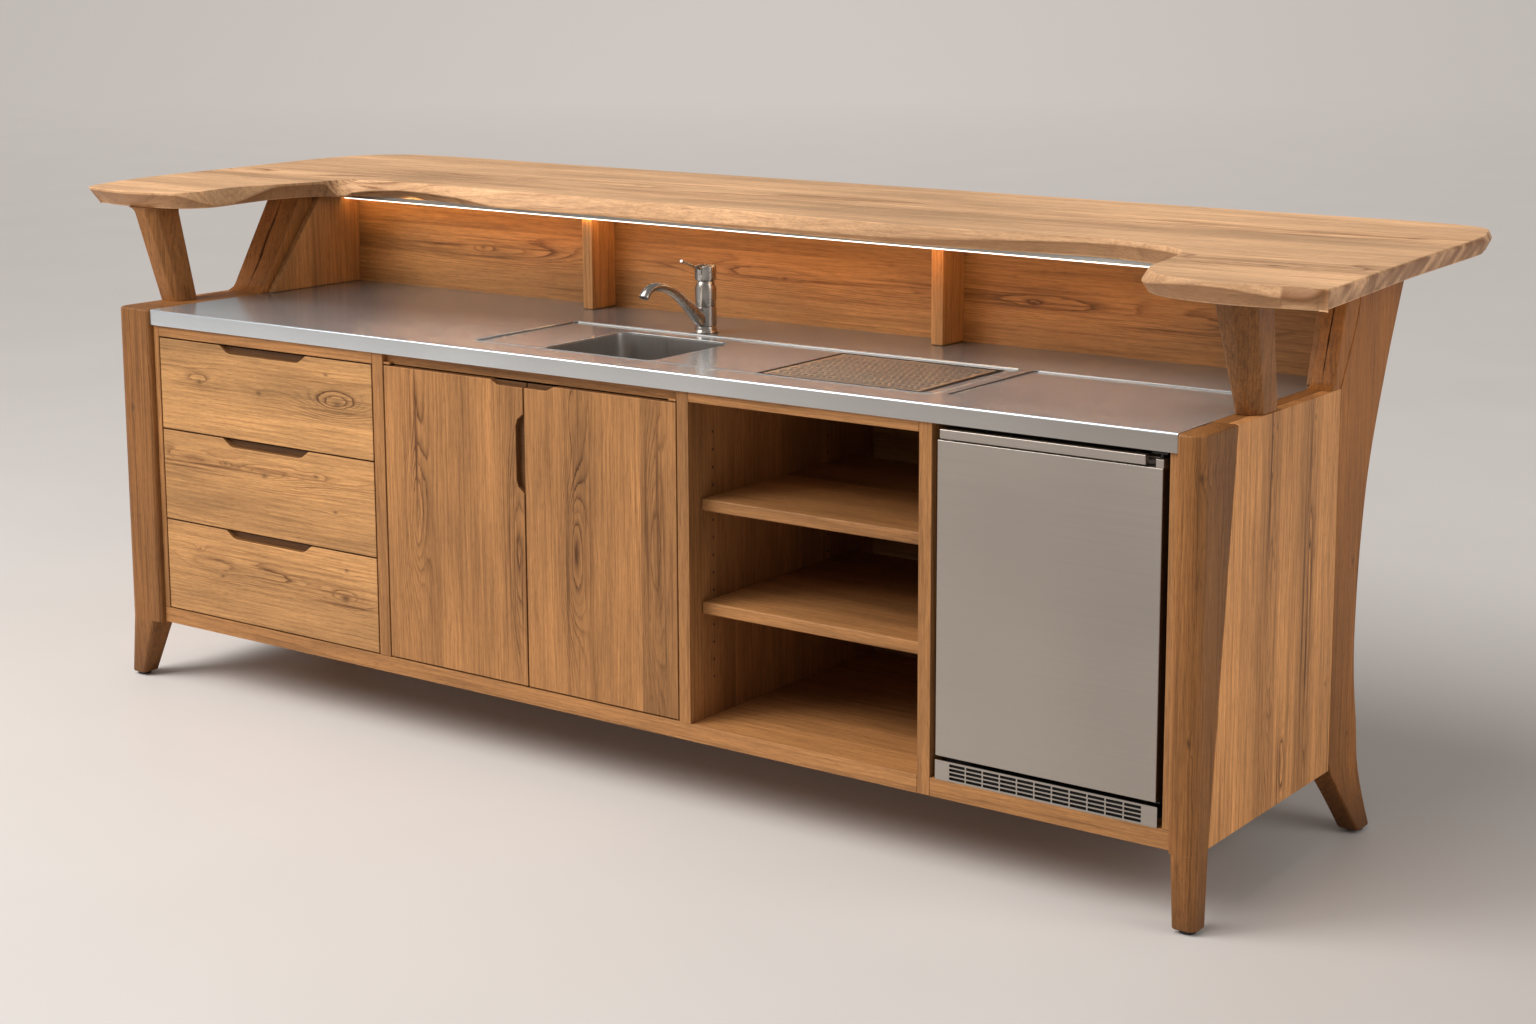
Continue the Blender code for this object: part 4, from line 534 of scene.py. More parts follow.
def smooth_value(pairs, z):
    """Value at z on a smooth curve through (z, value) pairs."""
    last = len(pairs) - 1
    for i in range(last):
        if z <= pairs[i + 1][0] or i == last - 1:
            (z0, a), (z1, b) = pairs[i], pairs[i + 1]
            before, after = pairs[max(i - 1, 0)], pairs[min(i + 2, last)]
            slope0 = (b - before[1]) / (z1 - before[0])
            slope1 = (after[1] - a) / (after[0] - z0)
            t = min(1.0, max(0.0, (z - z0) / (z1 - z0)))
            h = z1 - z0
            return (a * (2 * t ** 3 - 3 * t * t + 1) + h * slope0 * (t ** 3 - 2 * t * t + t)
                    + b * (3 * t * t - 2 * t ** 3) + h * slope1 * (t ** 3 - t * t))


def skin(bm, rings):
    """Faces between rings of the same count, from each to the next."""
    for first, second in zip(rings, rings[1:]):
        for i in range(len(first)):
            j = (i + 1) % len(first)
            bm.faces.new((first[i], first[j], second[j], second[i]))


def loft(rows, bm=None):
    """Skin through rings of points."""
    bm = bm or bmesh.new()
    rings = [[bm.verts.new(p) for p in row] for row in rows]
    skin(bm, rings)
    bm.faces.new(list(reversed(rings[0])))
    bm.faces.new(rings[-1])
    return bm


def level(outline, z):
    """Outline as points at a height."""
    return [Vector((p.x, p.y, z)) for p in outline]


def ringed(bm, outline, z):
    """Vertices of an outline at a height."""
    return [bm.verts.new(p) for p in level(outline, z)]


def filled(bm, loops):
    """Flat faces inside the first loop of vertices, with the other loops as holes."""
    edges = []
    for loop in loops:
        for a, b in zip(loop, loop[1:] + loop[:1]):
            edges.append(bm.edges.get((a, b)) or bm.edges.new((a, b)))
    bmesh.ops.triangle_fill(bm, use_beauty=True, use_dissolve=False, edges=edges, normal=(0, 0, 1))


def add_box(bm, x0, x1, y0, y1, z0, z1, radius, segments=3):
    """Box with rounded edges, added to a mesh."""
    corners = [bm.verts.new((x, y, z)) for x in (x0, x1) for y in (y0, y1) for z in (z0, z1)]
    faces = [bm.faces.new([corners[i] for i in ids]) for ids in (
        (0, 1, 3, 2), (4, 6, 7, 5), (0, 4, 5, 1), (2, 3, 7, 6), (0, 2, 6, 4), (1, 5, 7, 3))]
    edges = list({e for f in faces for e in f.edges})
    bmesh.ops.bevel(bm, geom=edges, offset=radius, offset_type="OFFSET", segments=segments, profile=0.5,
                    affect="EDGES")
    return bm


def prism(outline, y0, y1, radius):
    """Board with an outline in X and Z, rounded along all its edges."""
    bm = bmesh.new()
    front = [bm.verts.new((x, y0, z)) for x, z in outline]
    back = [bm.verts.new((x, y1, z)) for x, z in outline]
    skin(bm, (front, back))
    bm.faces.new(front)
    bm.faces.new(list(reversed(back)))
    bmesh.ops.recalc_face_normals(bm, faces=bm.faces)
    bmesh.ops.bevel(bm, geom=list(bm.edges), offset=radius, offset_type="OFFSET", segments=3,
                    profile=0.5, affect="EDGES")
    bm.normal_update()
    # Edge faces, those not facing front or back, are marked for painted shade, as in the reveals
    wane_and_painted_shade = bm.faces.layers.float.new("wane_and_painted_shade")
    for face in bm.faces:
        face[wane_and_painted_shade] = float(abs(face.normal.y) < 0.5)
    return bm


def with_wane_and_painted_shade(bm, values):
    """The mesh with a share of darkening at each vertex, in the order they were made, for waney timber and
    painted shade.
    """
    wane_and_painted_shade = bm.verts.layers.float.new("wane_and_painted_shade")
    for vertex, value in zip(bm.verts, values):
        vertex[wane_and_painted_shade] = value
    return bm


def perforated(outline, holes, z=0.0):
    """Flat sheet with holes."""
    bm = bmesh.new()
    filled(bm, [ringed(bm, loop, z) for loop in (outline, *holes)])
    return bm


def thickened(bm, thick, facing=Vector((0.0, 0.0, 1.0))):
    """Plate from an open sheet, with most of the sheet's faces turned to where it faces."""
    bmesh.ops.recalc_face_normals(bm, faces=bm.faces)
    if sum(f.normal.dot(facing) * f.calc_area() for f in bm.faces) < 0:
        bmesh.ops.reverse_faces(bm, faces=bm.faces)
    bmesh.ops.solidify(bm, geom=bm.faces[:], thickness=thick)
    return bm


def node_mesh(node):
    """Mesh of a CAD node in layout coordinates."""
    bm = bmesh.new()
    bm.from_mesh(NODES[node].data)
    bmesh.ops.transform(bm, matrix=Matrix.Translation(-SHIFT), verts=bm.verts)
    return bm


def copied(node, radius):
    """Mesh of a CAD node with its sharp edges rounded."""
    bm = node_mesh(node)
    bmesh.ops.remove_doubles(bm, verts=bm.verts, dist=1e-6)
    bmesh.ops.dissolve_limit(bm, angle_limit=math.radians(0.5), verts=bm.verts, edges=bm.edges)
    sharp = [e for e in bm.edges if len(e.link_faces) == 2 and e.calc_face_angle(0.0) > math.radians(40.0)]
    bmesh.ops.bevel(bm, geom=sharp, offset=radius, offset_type="OFFSET", segments=2, profile=0.5,
                    affect="EDGES", clamp_overlap=True)
    return bm


def linked(name, data):
    """New object in the scene."""
    made = bpy.data.objects.new(name, data)
    bpy.context.scene.collection.objects.link(made)
    return made


def meshed(name, bm):
    """Mesh from a working mesh, which is freed."""
    mesh = bpy.data.meshes.new(name)
    bm.to_mesh(mesh)
    bm.free()
    return mesh


def put(name, bm, look, *nodes, body=None, slot=None, angle=42.0):
    """Object from a layout mesh. It stands for the CAD nodes named, or rides on a body as trim.

    Edges above the angle are shaded sharp.
    """
    bmesh.ops.recalc_face_normals(bm, faces=bm.faces)
    mesh = meshed(name, bm)
    mesh.transform(Matrix.Translation(SHIFT))
    mesh.materials.append(look)
    mesh.shade_smooth()
    made = linked(name, mesh)
    mesh.set_sharp_from_angle(angle=math.radians(angle))
    made.modifiers.new("flat_faces", "WEIGHTED_NORMAL").keep_sharp = True
    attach(made, body or BODY_OF[nodes[0]])
    if nodes:
        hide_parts(*nodes)


# Bar top
GAP = 0.0003
SLAB = (            # widest line of the slab: X, Y, then how far its upper and lower edges stand back
    (-1.660, 0.120, 0.002, 0.034), (-1.595, 0.076, 0.002, 0.030), (-1.455, 0.062, 0.002, 0.028),
    (-1.335, 0.090, 0.003, 0.026), (-1.295, 0.155, 0.018, 0.009), (-1.298, 0.214, 0.024, 0.002),
    (-1.305, 0.280, 0.020, 0.006), (-1.295, 0.400, 0.003, 0.028), (-1.265, 0.500, 0.002, 0.028),
    (-1.238, 0.536, 0.034, 0.002), (-1.200, 0.562, 0.028, 0.014), (-1.075, 0.580, 0.022, 0.024),
    (-0.908, 0.564, 0.020, 0.016), (-0.720, 0.545, 0.018, 0.002), (-0.420, 0.540, 0.012, 0.002),
    (0.100, 0.490, 0.007, 0.003), (0.500, 0.458, 0.006, 0.004), (0.860, 0.475, 0.004, 0.012),
    (1.000, 0.450, 0.004, 0.016), (1.120, 0.390, 0.005, 0.018), (1.160, 0.270, 0.008, 0.018),
    (1.180, 0.140, 0.013, 0.014), (1.215, 0.070, 0.013, 0.014), (1.285, 0.022, 0.006, 0.016),
    (1.400, 0.000, 0.004, 0.017), (1.515, 0.018, 0.012, 0.012), (1.568, 0.028, 0.003, 0.012),
    (1.579, 0.060, 0.002, 0.014), (1.560, 0.300, 0.002, 0.016), (1.540, 0.550, 0.002, 0.018),
    (1.520, 0.886, 0.004, 0.016), (1.505, 0.986, 0.008, 0.014), (1.460, 1.081, 0.009, 0.014),
    (1.305, 1.121, 0.006, 0.016), (0.900, 1.141, 0.012, 0.008), (0.000, 1.186, 0.005, 0.016),
    (-0.900, 1.231, 0.014, 0.008), (-1.525, 1.256, 0.006, 0.016), (-1.725, 1.216, 0.005, 0.022),
    (-1.795, 1.046, 0.005, 0.024), (-1.775, 0.700, 0.012, 0.014), (-1.735, 0.350, 0.005, 0.024),
)
RIM = 0.012         # width of the flat rim rows on top and below
WEAR = ((6.0, 24.0, 0.0, 0.0014), (38.0, 70.0, 5.0, 0.0007))   # noise scales, start and depth: chips, nicks
SLAB_END = 1.5      # X from which the right end's cut grain shows


def turn_radius(loop, i, reach):
    """Radius of the outline where it turns round the slab, or a metre where it runs straight or hollow."""
    count = len(loop)
    a, b, c = (loop[(i + k) % count].xy for k in (-reach, 0, reach))
    twice_area = (b - a).cross(c - b)
    if twice_area <= 1e-9:
        return 1.0
    return min(1.0, (b - a).length * (c - b).length * (c - a).length / (2 * twice_area))


def inset_room(loop):
    """How far each point of a loop can move inwards before the loop would fold at its tight turns."""
    count = len(loop)
    room = [turn_radius(loop, i, 3) * 0.8 for i in range(count)]
    for order in (range(2 * count), range(2 * count, 0, -1)):
        for i in order:
            step = 1 if order.step > 0 else -1
            here, before = i % count, (i - step) % count
            away = (loop[here].xy - loop[before].xy).length
            room[here] = min(room[here], room[before] + 0.7 * away)
    return room


def edge_profile(over, under, depth):
    """Inset and height of the slab's edge, from the underside to the top, with each arris eased."""
    ridge = min(depth - 0.005, max(0.005, depth * under / (over + under)))
    corners = [Vector(c) for c in ((under + RIM, 0.0), (under, 0.0), (0.0, ridge), (over, depth),
                                   (over + RIM, depth))]
    line = [corners[0]]
    for k, reach in ((1, 0.0040), (2, 0.0035), (3, 0.0022)):
        line += corner_curve(*corners[k - 1:k + 2], reach)
    return line + [corners[-1]], ridge


def bar_top():
    """Live-edge slab: the CAD outline with a ridge that wanders up and down its uneven edge."""
    depth = BAR_HIGH - BAR_LOW
    loop = smooth_loop(SLAB, 20)
    count = len(loop)
    room = inset_room(loop)
    columns = []
    for i, (x, y, over, under) in enumerate(loop):
        along = (loop[(i + 1) % count] - loop[i - 1]).xy.normalized()
        inwards = Vector((-along.y, along.x))
        line, ridge = edge_profile(max(0.0015, over), max(0.0015, under), depth)
        column = []
        for inset, z in line:
            side = max(0.0, min(1.0, z / 0.004, (depth - z) / 0.003))      # fades at the flat faces
            worn = side * sum(
                deep * (1.0 + noise.noise(Vector((x * flat, y * flat, z * tall + start))))
                for flat, tall, start, deep in WEAR)
            spot = Vector((x, y)) + inwards * min(inset + worn, room[i])
            # Darker below the ridge: rough live-edge timber, and painted shade on the underside bevel
            rough = side * (1.0 if z < ridge - 0.002 else 0.45)
            if x > SLAB_END:
                stripes = noise.noise(Vector((4.0, y * 26.0 + z * 45.0, z * 12.0)))
                rough = side * min(1.3, max(0.30, 1.05 + 2.2 * stripes))
            column.append((Vector((spot.x, spot.y, BAR_LOW + z)), rough))
        columns.append(column)
    rows = [[column[k][0] for column in columns] for k in range(len(columns[0]))]
    bm = with_wane_and_painted_shade(loft(rows), [column[k][1] for k in range(len(rows)) for column in columns])
    put("slab", bm, oak_slab, "bar_top", angle=50.0)


# End frames
END_OUT = {-1: 1.439, 1: 1.376}
FRONT_SPLAY = {-1: 0.050, 1: 0.004}
REAR_SPLAY = 0.034
FOOT_HALF, FOOT_DEPTH = 0.023, 0.044
FOOT_NECK = {-1: 0.024, 1: 0.004}      # how far the foot stands in under the post's inner face
POST_FRONT = -0.008
POST_DEPTH = (0.062, 0.140)            # at the carcass's base and at the worktop
POST_ROUND = 0.030
CARCASS_Z = 0.149
FOOT_Z = 0.0073
LEG_FRONT, SEAM_SWEEP = 0.575, 0.090
LEG_BACK = (        # height and layout Y of the rear leg's back edge
    (0.0, 0.718), (0.072, 0.722), (0.193, 0.716), (0.300, 0.696), (0.391, 0.690), (0.566, 0.702),
    (0.734, 0.734), (0.919, 0.804), (1.040, 0.860), (1.125, 0.902),
)
STRUT_FOOT = {-1: (0.125, 0.064, 0.064), 1: (0.215, 0.048, 0.084)}   # front face, width and depth
STRUT_HEAD = {-1: (0.085, 0.064, 0.090), 1: (0.110, 0.070, 0.105)}
STRUT_SPLAY = {-1: 0.040, 1: 0.024}
STRUT_CHAMFER = (0.022, 0.034)         # below and above
STRUT_SETBACK = 0.0015                 # behind the end frame's outer face
HEAD_FILLET, FOOT_FILLET = 0.015, 0.014     # hollows where struts meet the slab and the cap
REAR_STRUT = {-1: (0.352, 0.484), 1: (0.542, 0.614)}
CRACK_DEPTH = 0.0045
# The crack's darkness below is painted shade
CRACK = (           # across the crack: place, depth and darkness, as shares
    (-2.4, 0.0, 0.0), (-1.0, 0.12, 0.55), (-0.55, 1.0, 1.0), (0.55, 1.0, 1.0), (1.0, 0.12, 0.55),
    (2.4, 0.0, 0.0))
POST_HEIGHTS = (
    FOOT_Z, 0.0085, 0.011, 0.03, 0.055, 0.08, 0.105, 0.13, CARCASS_Z - 0.0005, CARCASS_Z, 0.22, 0.34, 0.5,
    0.68, 0.82, 0.894, 0.8975, 0.8993, TOP)
POST_EASING = {FOOT_Z: 0.002, 0.0085: 0.0006, 0.8975: 0.0008, 0.8993: 0.0024, TOP: 0.0045}   # insets
LEG_EASING = {FOOT_Z: 0.003, 0.0085: 0.001}
STRUT_STEPS = (0.0, 0.008, 0.3, 0.6, 0.86, 0.93, 0.955, 0.972, 0.985, 0.994, 1.0)
SIDES = {-1: "left", 1: "right"}


def blend(a, b, t):
    """Value between a and b."""
    return a + (b - a) * t


def ring(side, near, far, y0, y1, radii, z, steps=6):
    """Section of an end-frame timber. radii go inner front, outer front, outer back, inner back."""
    a, b, c, d = radii
    if side > 0:
        return level(rounded(near, far, y0, y1, (a, b, c, d), steps), z)
    return level(rounded(-far, -near, y0, y1, (b, a, d, c), steps), z)


def put_timber(side, word, bm, look, angle=42.0):
    """Piece for a timber of an end frame."""
    name = SIDES[side] + word
    put(name + "_timber", bm, look, name, angle=angle)


def crotch(z):
    """Y of the seam between rear strut and rear leg, above the worktop."""
    t = max(0.0, (z - TOP) / (BAR_LOW - TOP))
    return LEG_FRONT + SEAM_SWEEP * math.sin(t * math.pi / 2)


def foot_flare(z):
    """Share of the foot's shape at a height: one at the floor, none from the carcass up."""
    return max(0.0, (CARCASS_Z - z) / (CARCASS_Z - FOOT_Z))


def fillet(away, radius):
    """How far a hollow fillet stands out, at a distance from the face it runs into."""
    return 0.0 if away >= radius else radius - math.sqrt(radius ** 2 - (radius - away) ** 2)


def front_post(side):
    """Post with a rounded outer corner that runs down into a foot."""
    near, far = HALF + GAP, END_OUT[side]
    middle = (near + far) / 2 + FRONT_SPLAY[side]
    foot_y = POST_FRONT + FOOT_DEPTH / 4
    rows, dark = [], []
    for z in POST_HEIGHTS:
        inset, flare = POST_EASING.get(z, 0.0), foot_flare(z)
        rise = max(0.0, (z - CARCASS_Z) / (TOP - CARCASS_Z))
        neck = FOOT_NECK[side] if z < CARCASS_Z else 0.0
        x0 = blend(near + neck, middle - FOOT_HALF, flare) + inset
        x1 = blend(far, middle + FOOT_HALF, flare) - inset
        y0 = blend(POST_FRONT, foot_y, flare) + inset
        y1 = blend(POST_FRONT + blend(*POST_DEPTH, rise), foot_y + FOOT_DEPTH, flare)
        y1 -= inset * (flare > 0.5)
        round_front = min(POST_ROUND, (x1 - x0) * 0.58)
        radii = (blend(0.011, 0.006, flare), blend(round_front, 0.014, flare),
                 blend(0.0015, 0.006, flare), blend(0.0015, 0.004, flare))
        rows.append(ring(side, x0, x1, y0, y1, radii, z))
        # Painted shade: the foot is marked darker towards the floor
        dark += [flare] * len(rows[-1])
    put_timber(side, "_front_post", with_wane_and_painted_shade(loft(rows), dark), oak_frame)


def rear_leg(side):
    """Leg that flares at its foot and sweeps back under the bar top, with its back edges rounded."""
    near, far = HALF + GAP, END_OUT[side]
    middle = (near + far) / 2 + REAR_SPLAY
    sole, steps = 0.012, 44
    heights = [*LEG_EASING, sole] + [blend(sole, BAR_LOW - GAP, k / steps) for k in range(1, steps + 1)]
    rows, dark = [], []
    for z in heights:
        inset, flare = LEG_EASING.get(z, 0.0), foot_flare(z)
        x0 = blend(near, middle - FOOT_HALF, flare) + inset
        x1 = blend(far, middle + FOOT_HALF, flare * (0.4 + 0.6 * flare)) - inset
        y1 = smooth_value(LEG_BACK, z) - inset
        y0 = blend(crotch(z), LEG_BACK[0][1] - 1.3 * FOOT_DEPTH, flare ** 0.8) + inset
        front_edge = blend(0.002, 0.008, flare)
        rows.append(ring(side, x0, x1, y0, y1, (front_edge, front_edge, 0.012, 0.012), z, 5))
        # Painted shade: the foot is marked darker towards the floor
        dark += [flare] * len(rows[-1])
    put_timber(side, "_rear_leg", with_wane_and_painted_shade(loft(rows), dark), oak_legs)


def front_strut(side):
    """Strut with broad chamfers that leans out and forward, hollowed where it runs into the slab."""
    low, high = TOP + GAP, BAR_LOW - GAP
    rows = []
    for t in STRUT_STEPS:
        z = blend(low, high, t)
        front, width, depth = (blend(a, b, t) for a, b in zip(STRUT_FOOT[side], STRUT_HEAD[side]))
        far = END_OUT[side] - STRUT_SETBACK + STRUT_SPLAY[side] * t
        grow = fillet(high - z, HEAD_FILLET) - (0.001 if t == 0.0 else 0.0)
        spread = (side * (far - width - grow), side * (far + grow))
        broad = blend(*STRUT_CHAMFER, t)
        radii = (0.006, broad, 0.004, 0.006) if side > 0 else (0.007, broad * 0.6, 0.005, 0.005)
        outline = rounded(min(spread), max(spread), front - grow * 0.2, front + depth + grow, radii, 1)
        rows.append(level(eased(outline, 0.003), z))
    put_timber(side, "_front_strut", loft(rows), oak_frame, angle=60.0)


def rear_strut(side):
    """Strut against the leg, with a crack down its front face and a hollow at its foot."""
    low, high = TOP + GAP, BAR_LOW - GAP
    near, far = HALF + GAP, END_OUT[side] - STRUT_SETBACK
    front0, front1 = REAR_STRUT[side]
    rows, dark = [], []
    steps = 32
    for t in (k / steps for k in range(steps + 1)):
        z = blend(low, high, t)
        front = blend(front0, front1, t) - fillet(z - low, FOOT_FILLET) + 0.0005
        outline = ring(side, near, far, front, crotch(z) - GAP, (0.005, 0.005, 0.0015, 0.0015), z, 3)
        corner = max(range(len(outline)), key=lambda i: (outline[i] - outline[i - 1]).length * (
            outline[i].y < front + 0.002 and outline[i - 1].y < front + 0.002))
        a, b = outline[corner - 1], outline[corner]
        drift = 0.47 + 0.06 * noise.noise(Vector((0.0, 3.0 * side, z * 14.0)))
        open_wide = max(0.02, math.sin(math.pi * min(1.0, max(0.0, (t - 0.12) / 0.80)))) ** 0.5
        half = (0.03 + 0.025 * noise.noise(Vector((2.0, side, z * 40.0)))) * open_wide
        deep = CRACK_DEPTH * open_wide
        cut = [blend(a, b, drift + half * s) + Vector((0.0, d * deep, 0.0)) for s, d, _ in CRACK]
        at = corner or len(outline)
        rows.append(outline[:at] + cut + outline[at:])
        # Painted shade down the crack
        dark += [0.0] * at + [shade for _, _, shade in CRACK] + [0.0] * (len(outline) - at)
    put_timber(side, "_rear_strut", with_wane_and_painted_shade(loft(rows), dark), oak_struts)


# Cabinet boards
FACE, REVEAL = 0.007, 0.003
FRONT_THICK, ARRIS = 0.020, 0.0020
# Depth of the boards behind the finger notches, which are painted shade
NOTCH_SHADE_FRONT, NOTCH_SHADE_BACK = FACE + 0.013, FACE + 0.0195
FRONT_BASE, FRONT_TOP = 0.185, 0.838
DRAWERS = (-1.308, -0.612)
DOORS = (-0.580, 0.229)
DRAWER_NOTCH = ((0.140, 0.0), (0.118, 0.015), (0.108, 0.018))       # away from the middle, and drop


def front_board(name, outline, look):
    """Drawer front or door with rounded arrises."""
    put(name + "_board", prism(outline, FACE, FACE + FRONT_THICK, ARRIS), look, name)


def notch_shade_boards(name, body, *spans):
    """Dark boards behind a finger notch, painted shade for the notch's inside, as spans of X and Z."""
    bm = bmesh.new()
    for x0, x1, z0, z1 in spans:
        add_box(bm, x0, x1, NOTCH_SHADE_FRONT, NOTCH_SHADE_BACK, z0, z1, 0.001)
    put(name, bm, oak_notch_shade, body=body, slot="oak")


def drawer_fronts():
    """Three drawer fronts, each with a notch in its upper edge."""
    x0, x1 = DRAWERS[0] + REVEAL, DRAWERS[1] - REVEAL
    middle = (x0 + x1) / 2
    height = (FRONT_TOP - FRONT_BASE - 4 * REVEAL) / 3
    for i, word in enumerate(("bottom", "middle", "top")):
        z0 = FRONT_BASE + REVEAL + i * (height + REVEAL)
        z1 = z0 + height
        outline = [(x0, z0), (x1, z0), (x1, z1)]
        outline += [(middle + away, z1 - drop) for away, drop in DRAWER_NOTCH]
        outline += [(middle - away, z1 - drop) for away, drop in reversed(DRAWER_NOTCH)]
        outline.append((x0, z1))
        name = word + "_drawer_front"
        front_board(name, outline, oak_drawers[word])
        notch_shade_boards(word + "_drawer_notch_shade", BODY_OF[name], (middle - 0.145, middle + 0.145, z1 - 0.026, z1 - 0.002))


def doors():
    """Two doors with a notch where they meet at the top, and a grip in the left one's edge."""
    x0, x1 = DOORS[0] + REVEAL, DOORS[1] - REVEAL
    meet = sum(DOORS) / 2
    z0, z1 = FRONT_BASE + REVEAL, FRONT_TOP
    notch = z1 - 0.010
    edge, other = meet - REVEAL / 2, meet + REVEAL / 2
    left = (
        (x0, z0), (edge, z0), (edge, 0.604), (edge - 0.016, 0.616), (edge - 0.021, 0.630),
        (edge - 0.021, 0.746), (edge - 0.016, 0.760), (edge, 0.772), (edge, notch), (meet - 0.072, notch),
        (meet - 0.092, z1), (x0, z1))
    right = (
        (other, z0), (x1, z0), (x1, z1), (meet + 0.083, z1), (meet + 0.062, notch), (other, notch))
    front_board("left_door", left, oak_left_door)
    front_board("right_door", right, oak_right_door)
    notch_shade_boards("left_door_notch_shade", "left_door", (meet - 0.096, edge, notch - 0.012, z1 - 0.002),
         (edge - 0.026, edge, 0.598, 0.778))
    notch_shade_boards("right_door_notch_shade", "right_door", (other, meet + 0.088, notch - 0.012, z1 - 0.002))


def boards():
    """Plain timber of the carcass, with rounded arrises."""
    for look, radius, names in (
            (oak_sides, 0.0015, "left_side_board right_side_board drawer_divider"),
            (oak_rails, 0.0015, "drawer_top_rail shelf_top_rail"), (oak_back, 0.003, "back_panel"),
            (oak_stiles, 0.003, "left_rib right_rib"), (oak_shelf, 0.003, "lower_shelf upper_shelf")):
        for node in names.split():
            low, high = layout_box(node)
            bm = add_box(bmesh.new(), low.x, high.x, low.y, high.y, low.z, high.z, radius)
            put(node + "_board", bm, look, node)
    for look, radius, names in (
            (oak_rails, 0.0012, "base_panel"), (oak_sides, 0.0012, "door_divider cooler_divider"),
            (oak_rails, 0.0008, "door_top_rail"), (oak_end, 0.0015, "left_end_panel right_end_panel"),
            (oak_caps, 0.0012, "left_end_cap right_end_cap"),
            (ply, 0.0008, "top_drawer_box middle_drawer_box bottom_drawer_box")):
        for node in names.split():
            put(node + "_board", copied(node, radius), look, node)


CHEEK_FRONT = {-1: (0.366, 0.535), 1: (0.570, 0.635)}      # Y of the front edge below and above


def cheek(side):
    """Inner end board between worktop and bar top, with a straight leaning front edge."""
    name = SIDES[side] + "_cheek"
    low, high = layout_box(name)
    front0, front1 = CHEEK_FRONT[side]
    bm = prism(((front0, low.z), (high.y, low.z), (high.y, high.z), (front1, high.z)), low.x, high.x, 0.002)
    swap_axes = Matrix(((0, 1, 0, 0), (1, 0, 0, 0), (0, 0, 1, 0), (0, 0, 0, 1)))
    bmesh.ops.transform(bm, matrix=swap_axes, verts=bm.verts)
    put(name + "_board", bm, oak_sides, name)


PIN_ROWS = (0.075, 0.480)
PIN_COUNT, PIN_LOWEST, PIN_STEP = 15, 0.270, 0.036


def pin_holes():
    """Rows of dark discs in both sides of the shelf bay, painted shade standing for the shelf pins' holes."""
    left, right = layout_box("door_divider")[1].x, layout_box("cooler_divider")[0].x
    bm = bmesh.new()
    for x, out in ((left, 1), (right, -1)):
        for y in PIN_ROWS:
            for z in (PIN_LOWEST + PIN_STEP * k for k in range(PIN_COUNT)):
                loft([[Vector((x + out * lift, y + p.x, z + p.y)) for p in circle((0.0, 0.0), radius, 10)]
                      for lift, radius in ((0.00005, 0.0027), (0.0003, 0.0022))], bm=bm)
    # Black rubber look on the discs: painted shade
    put("shelf_pin_hole_shade", bm, rubber, body="counter", slot="black_rubber")


# Worktop
WET = (-0.385, 0.772, 0.085, 0.425)        # recesses and cut-outs: X0, X1, Y0, Y1
DRY = (0.795, 1.240, 0.100, 0.430)
SINK = (-0.210, 0.088, 0.098, 0.380)
TRAY = (0.361, 0.737, 0.099, 0.399)
TAP = (-0.042, 0.458)
SHEET = 0.0015
RECESS = 0.003
DEPTH = 0.668
ROLL, APRON = 0.0035, 0.034
RECESS_CORNER, SINK_CORNER = 0.012, 0.030
TAP_HOLE = 0.0185
PRESSED_STEP = (        # inset and drop of a recess wall
    (0.0, 0.0), (0.0005, 0.0002), (0.0009, 0.0007), (0.0013, 0.0023), (0.0017, 0.0028), (0.0024, RECESS))
PRESSED_BEAD = ((-0.0050, 0.0), (-0.0040, -0.0007), (-0.0025, -0.0012), (-0.0010, -0.0007))
SINK_LIP = ((-0.002, 0.0), (-0.0009, 0.0002), (-0.0002, 0.0008), (0.0, 0.0040))


def inset_box(box, inset, radius, steps=5):
    """Rounded outline inside a box."""
    x0, x1, y0, y1 = box
    return rounded(x0 + inset, x1 - inset, y0 + inset, y1 - inset, (radius,) * 4, steps)


def worktop_sheet():
    """Steel sheet with a rolled front, two pressed recesses, a sink lip and cut-outs."""
    bm = bmesh.new()
    angles = [math.radians(15 * k) for k in range(7)]
    front = [(ROLL - ROLL * math.sin(a), TOP - ROLL + ROLL * math.cos(a)) for a in angles]
    front += [(0.0, TOP - APRON), (0.001, TOP - APRON - 0.002)]
    rows = [[bm.verts.new((x, y, z)) for x in (-HALF, HALF)] for y, z in front]
    for (a, b), (c, d) in zip(rows, rows[1:]):
        bm.faces.new((a, b, d, c))
    rear = [bm.verts.new((x, DEPTH, TOP)) for x in (HALF, -HALF)]
    holes = [ringed(bm, circle(TAP, TAP_HOLE, 32), TOP)]
    for box, cuts in ((WET, True), (DRY, False)):
        step = PRESSED_BEAD + PRESSED_STEP if cuts else PRESSED_STEP
        rings = [ringed(bm, inset_box(box, inset, RECESS_CORNER - inset), TOP - drop) for inset, drop in step]
        skin(bm, rings)
        holes.append(rings[0])
        inside = []
        if cuts:
            lip = [ringed(bm, inset_box(SINK, inset, SINK_CORNER - inset), TOP - RECESS - drop)
                   for inset, drop in SINK_LIP]
            skin(bm, lip)
            inside = [lip[0], ringed(bm, inset_box(TRAY, 0.0, 0.002, 2), TOP - RECESS)]
        filled(bm, [rings[-1]] + inside)
    filled(bm, [rows[0] + rear] + holes)
    put("steel_worktop", thickened(bm, SHEET), steel_top, "worktop_sheet", angle=60.0)


WASTE = Vector((sum(c.x for c in layout_box("sink_waste")) / 2, (SINK[2] + SINK[3]) / 2))
BOWL_RIM = TOP - RECESS - SHEET - GAP
BOWL_WALL, BOWL_DEPTH = 0.1575, 0.160       # depth at the foot of the walls and at the waste


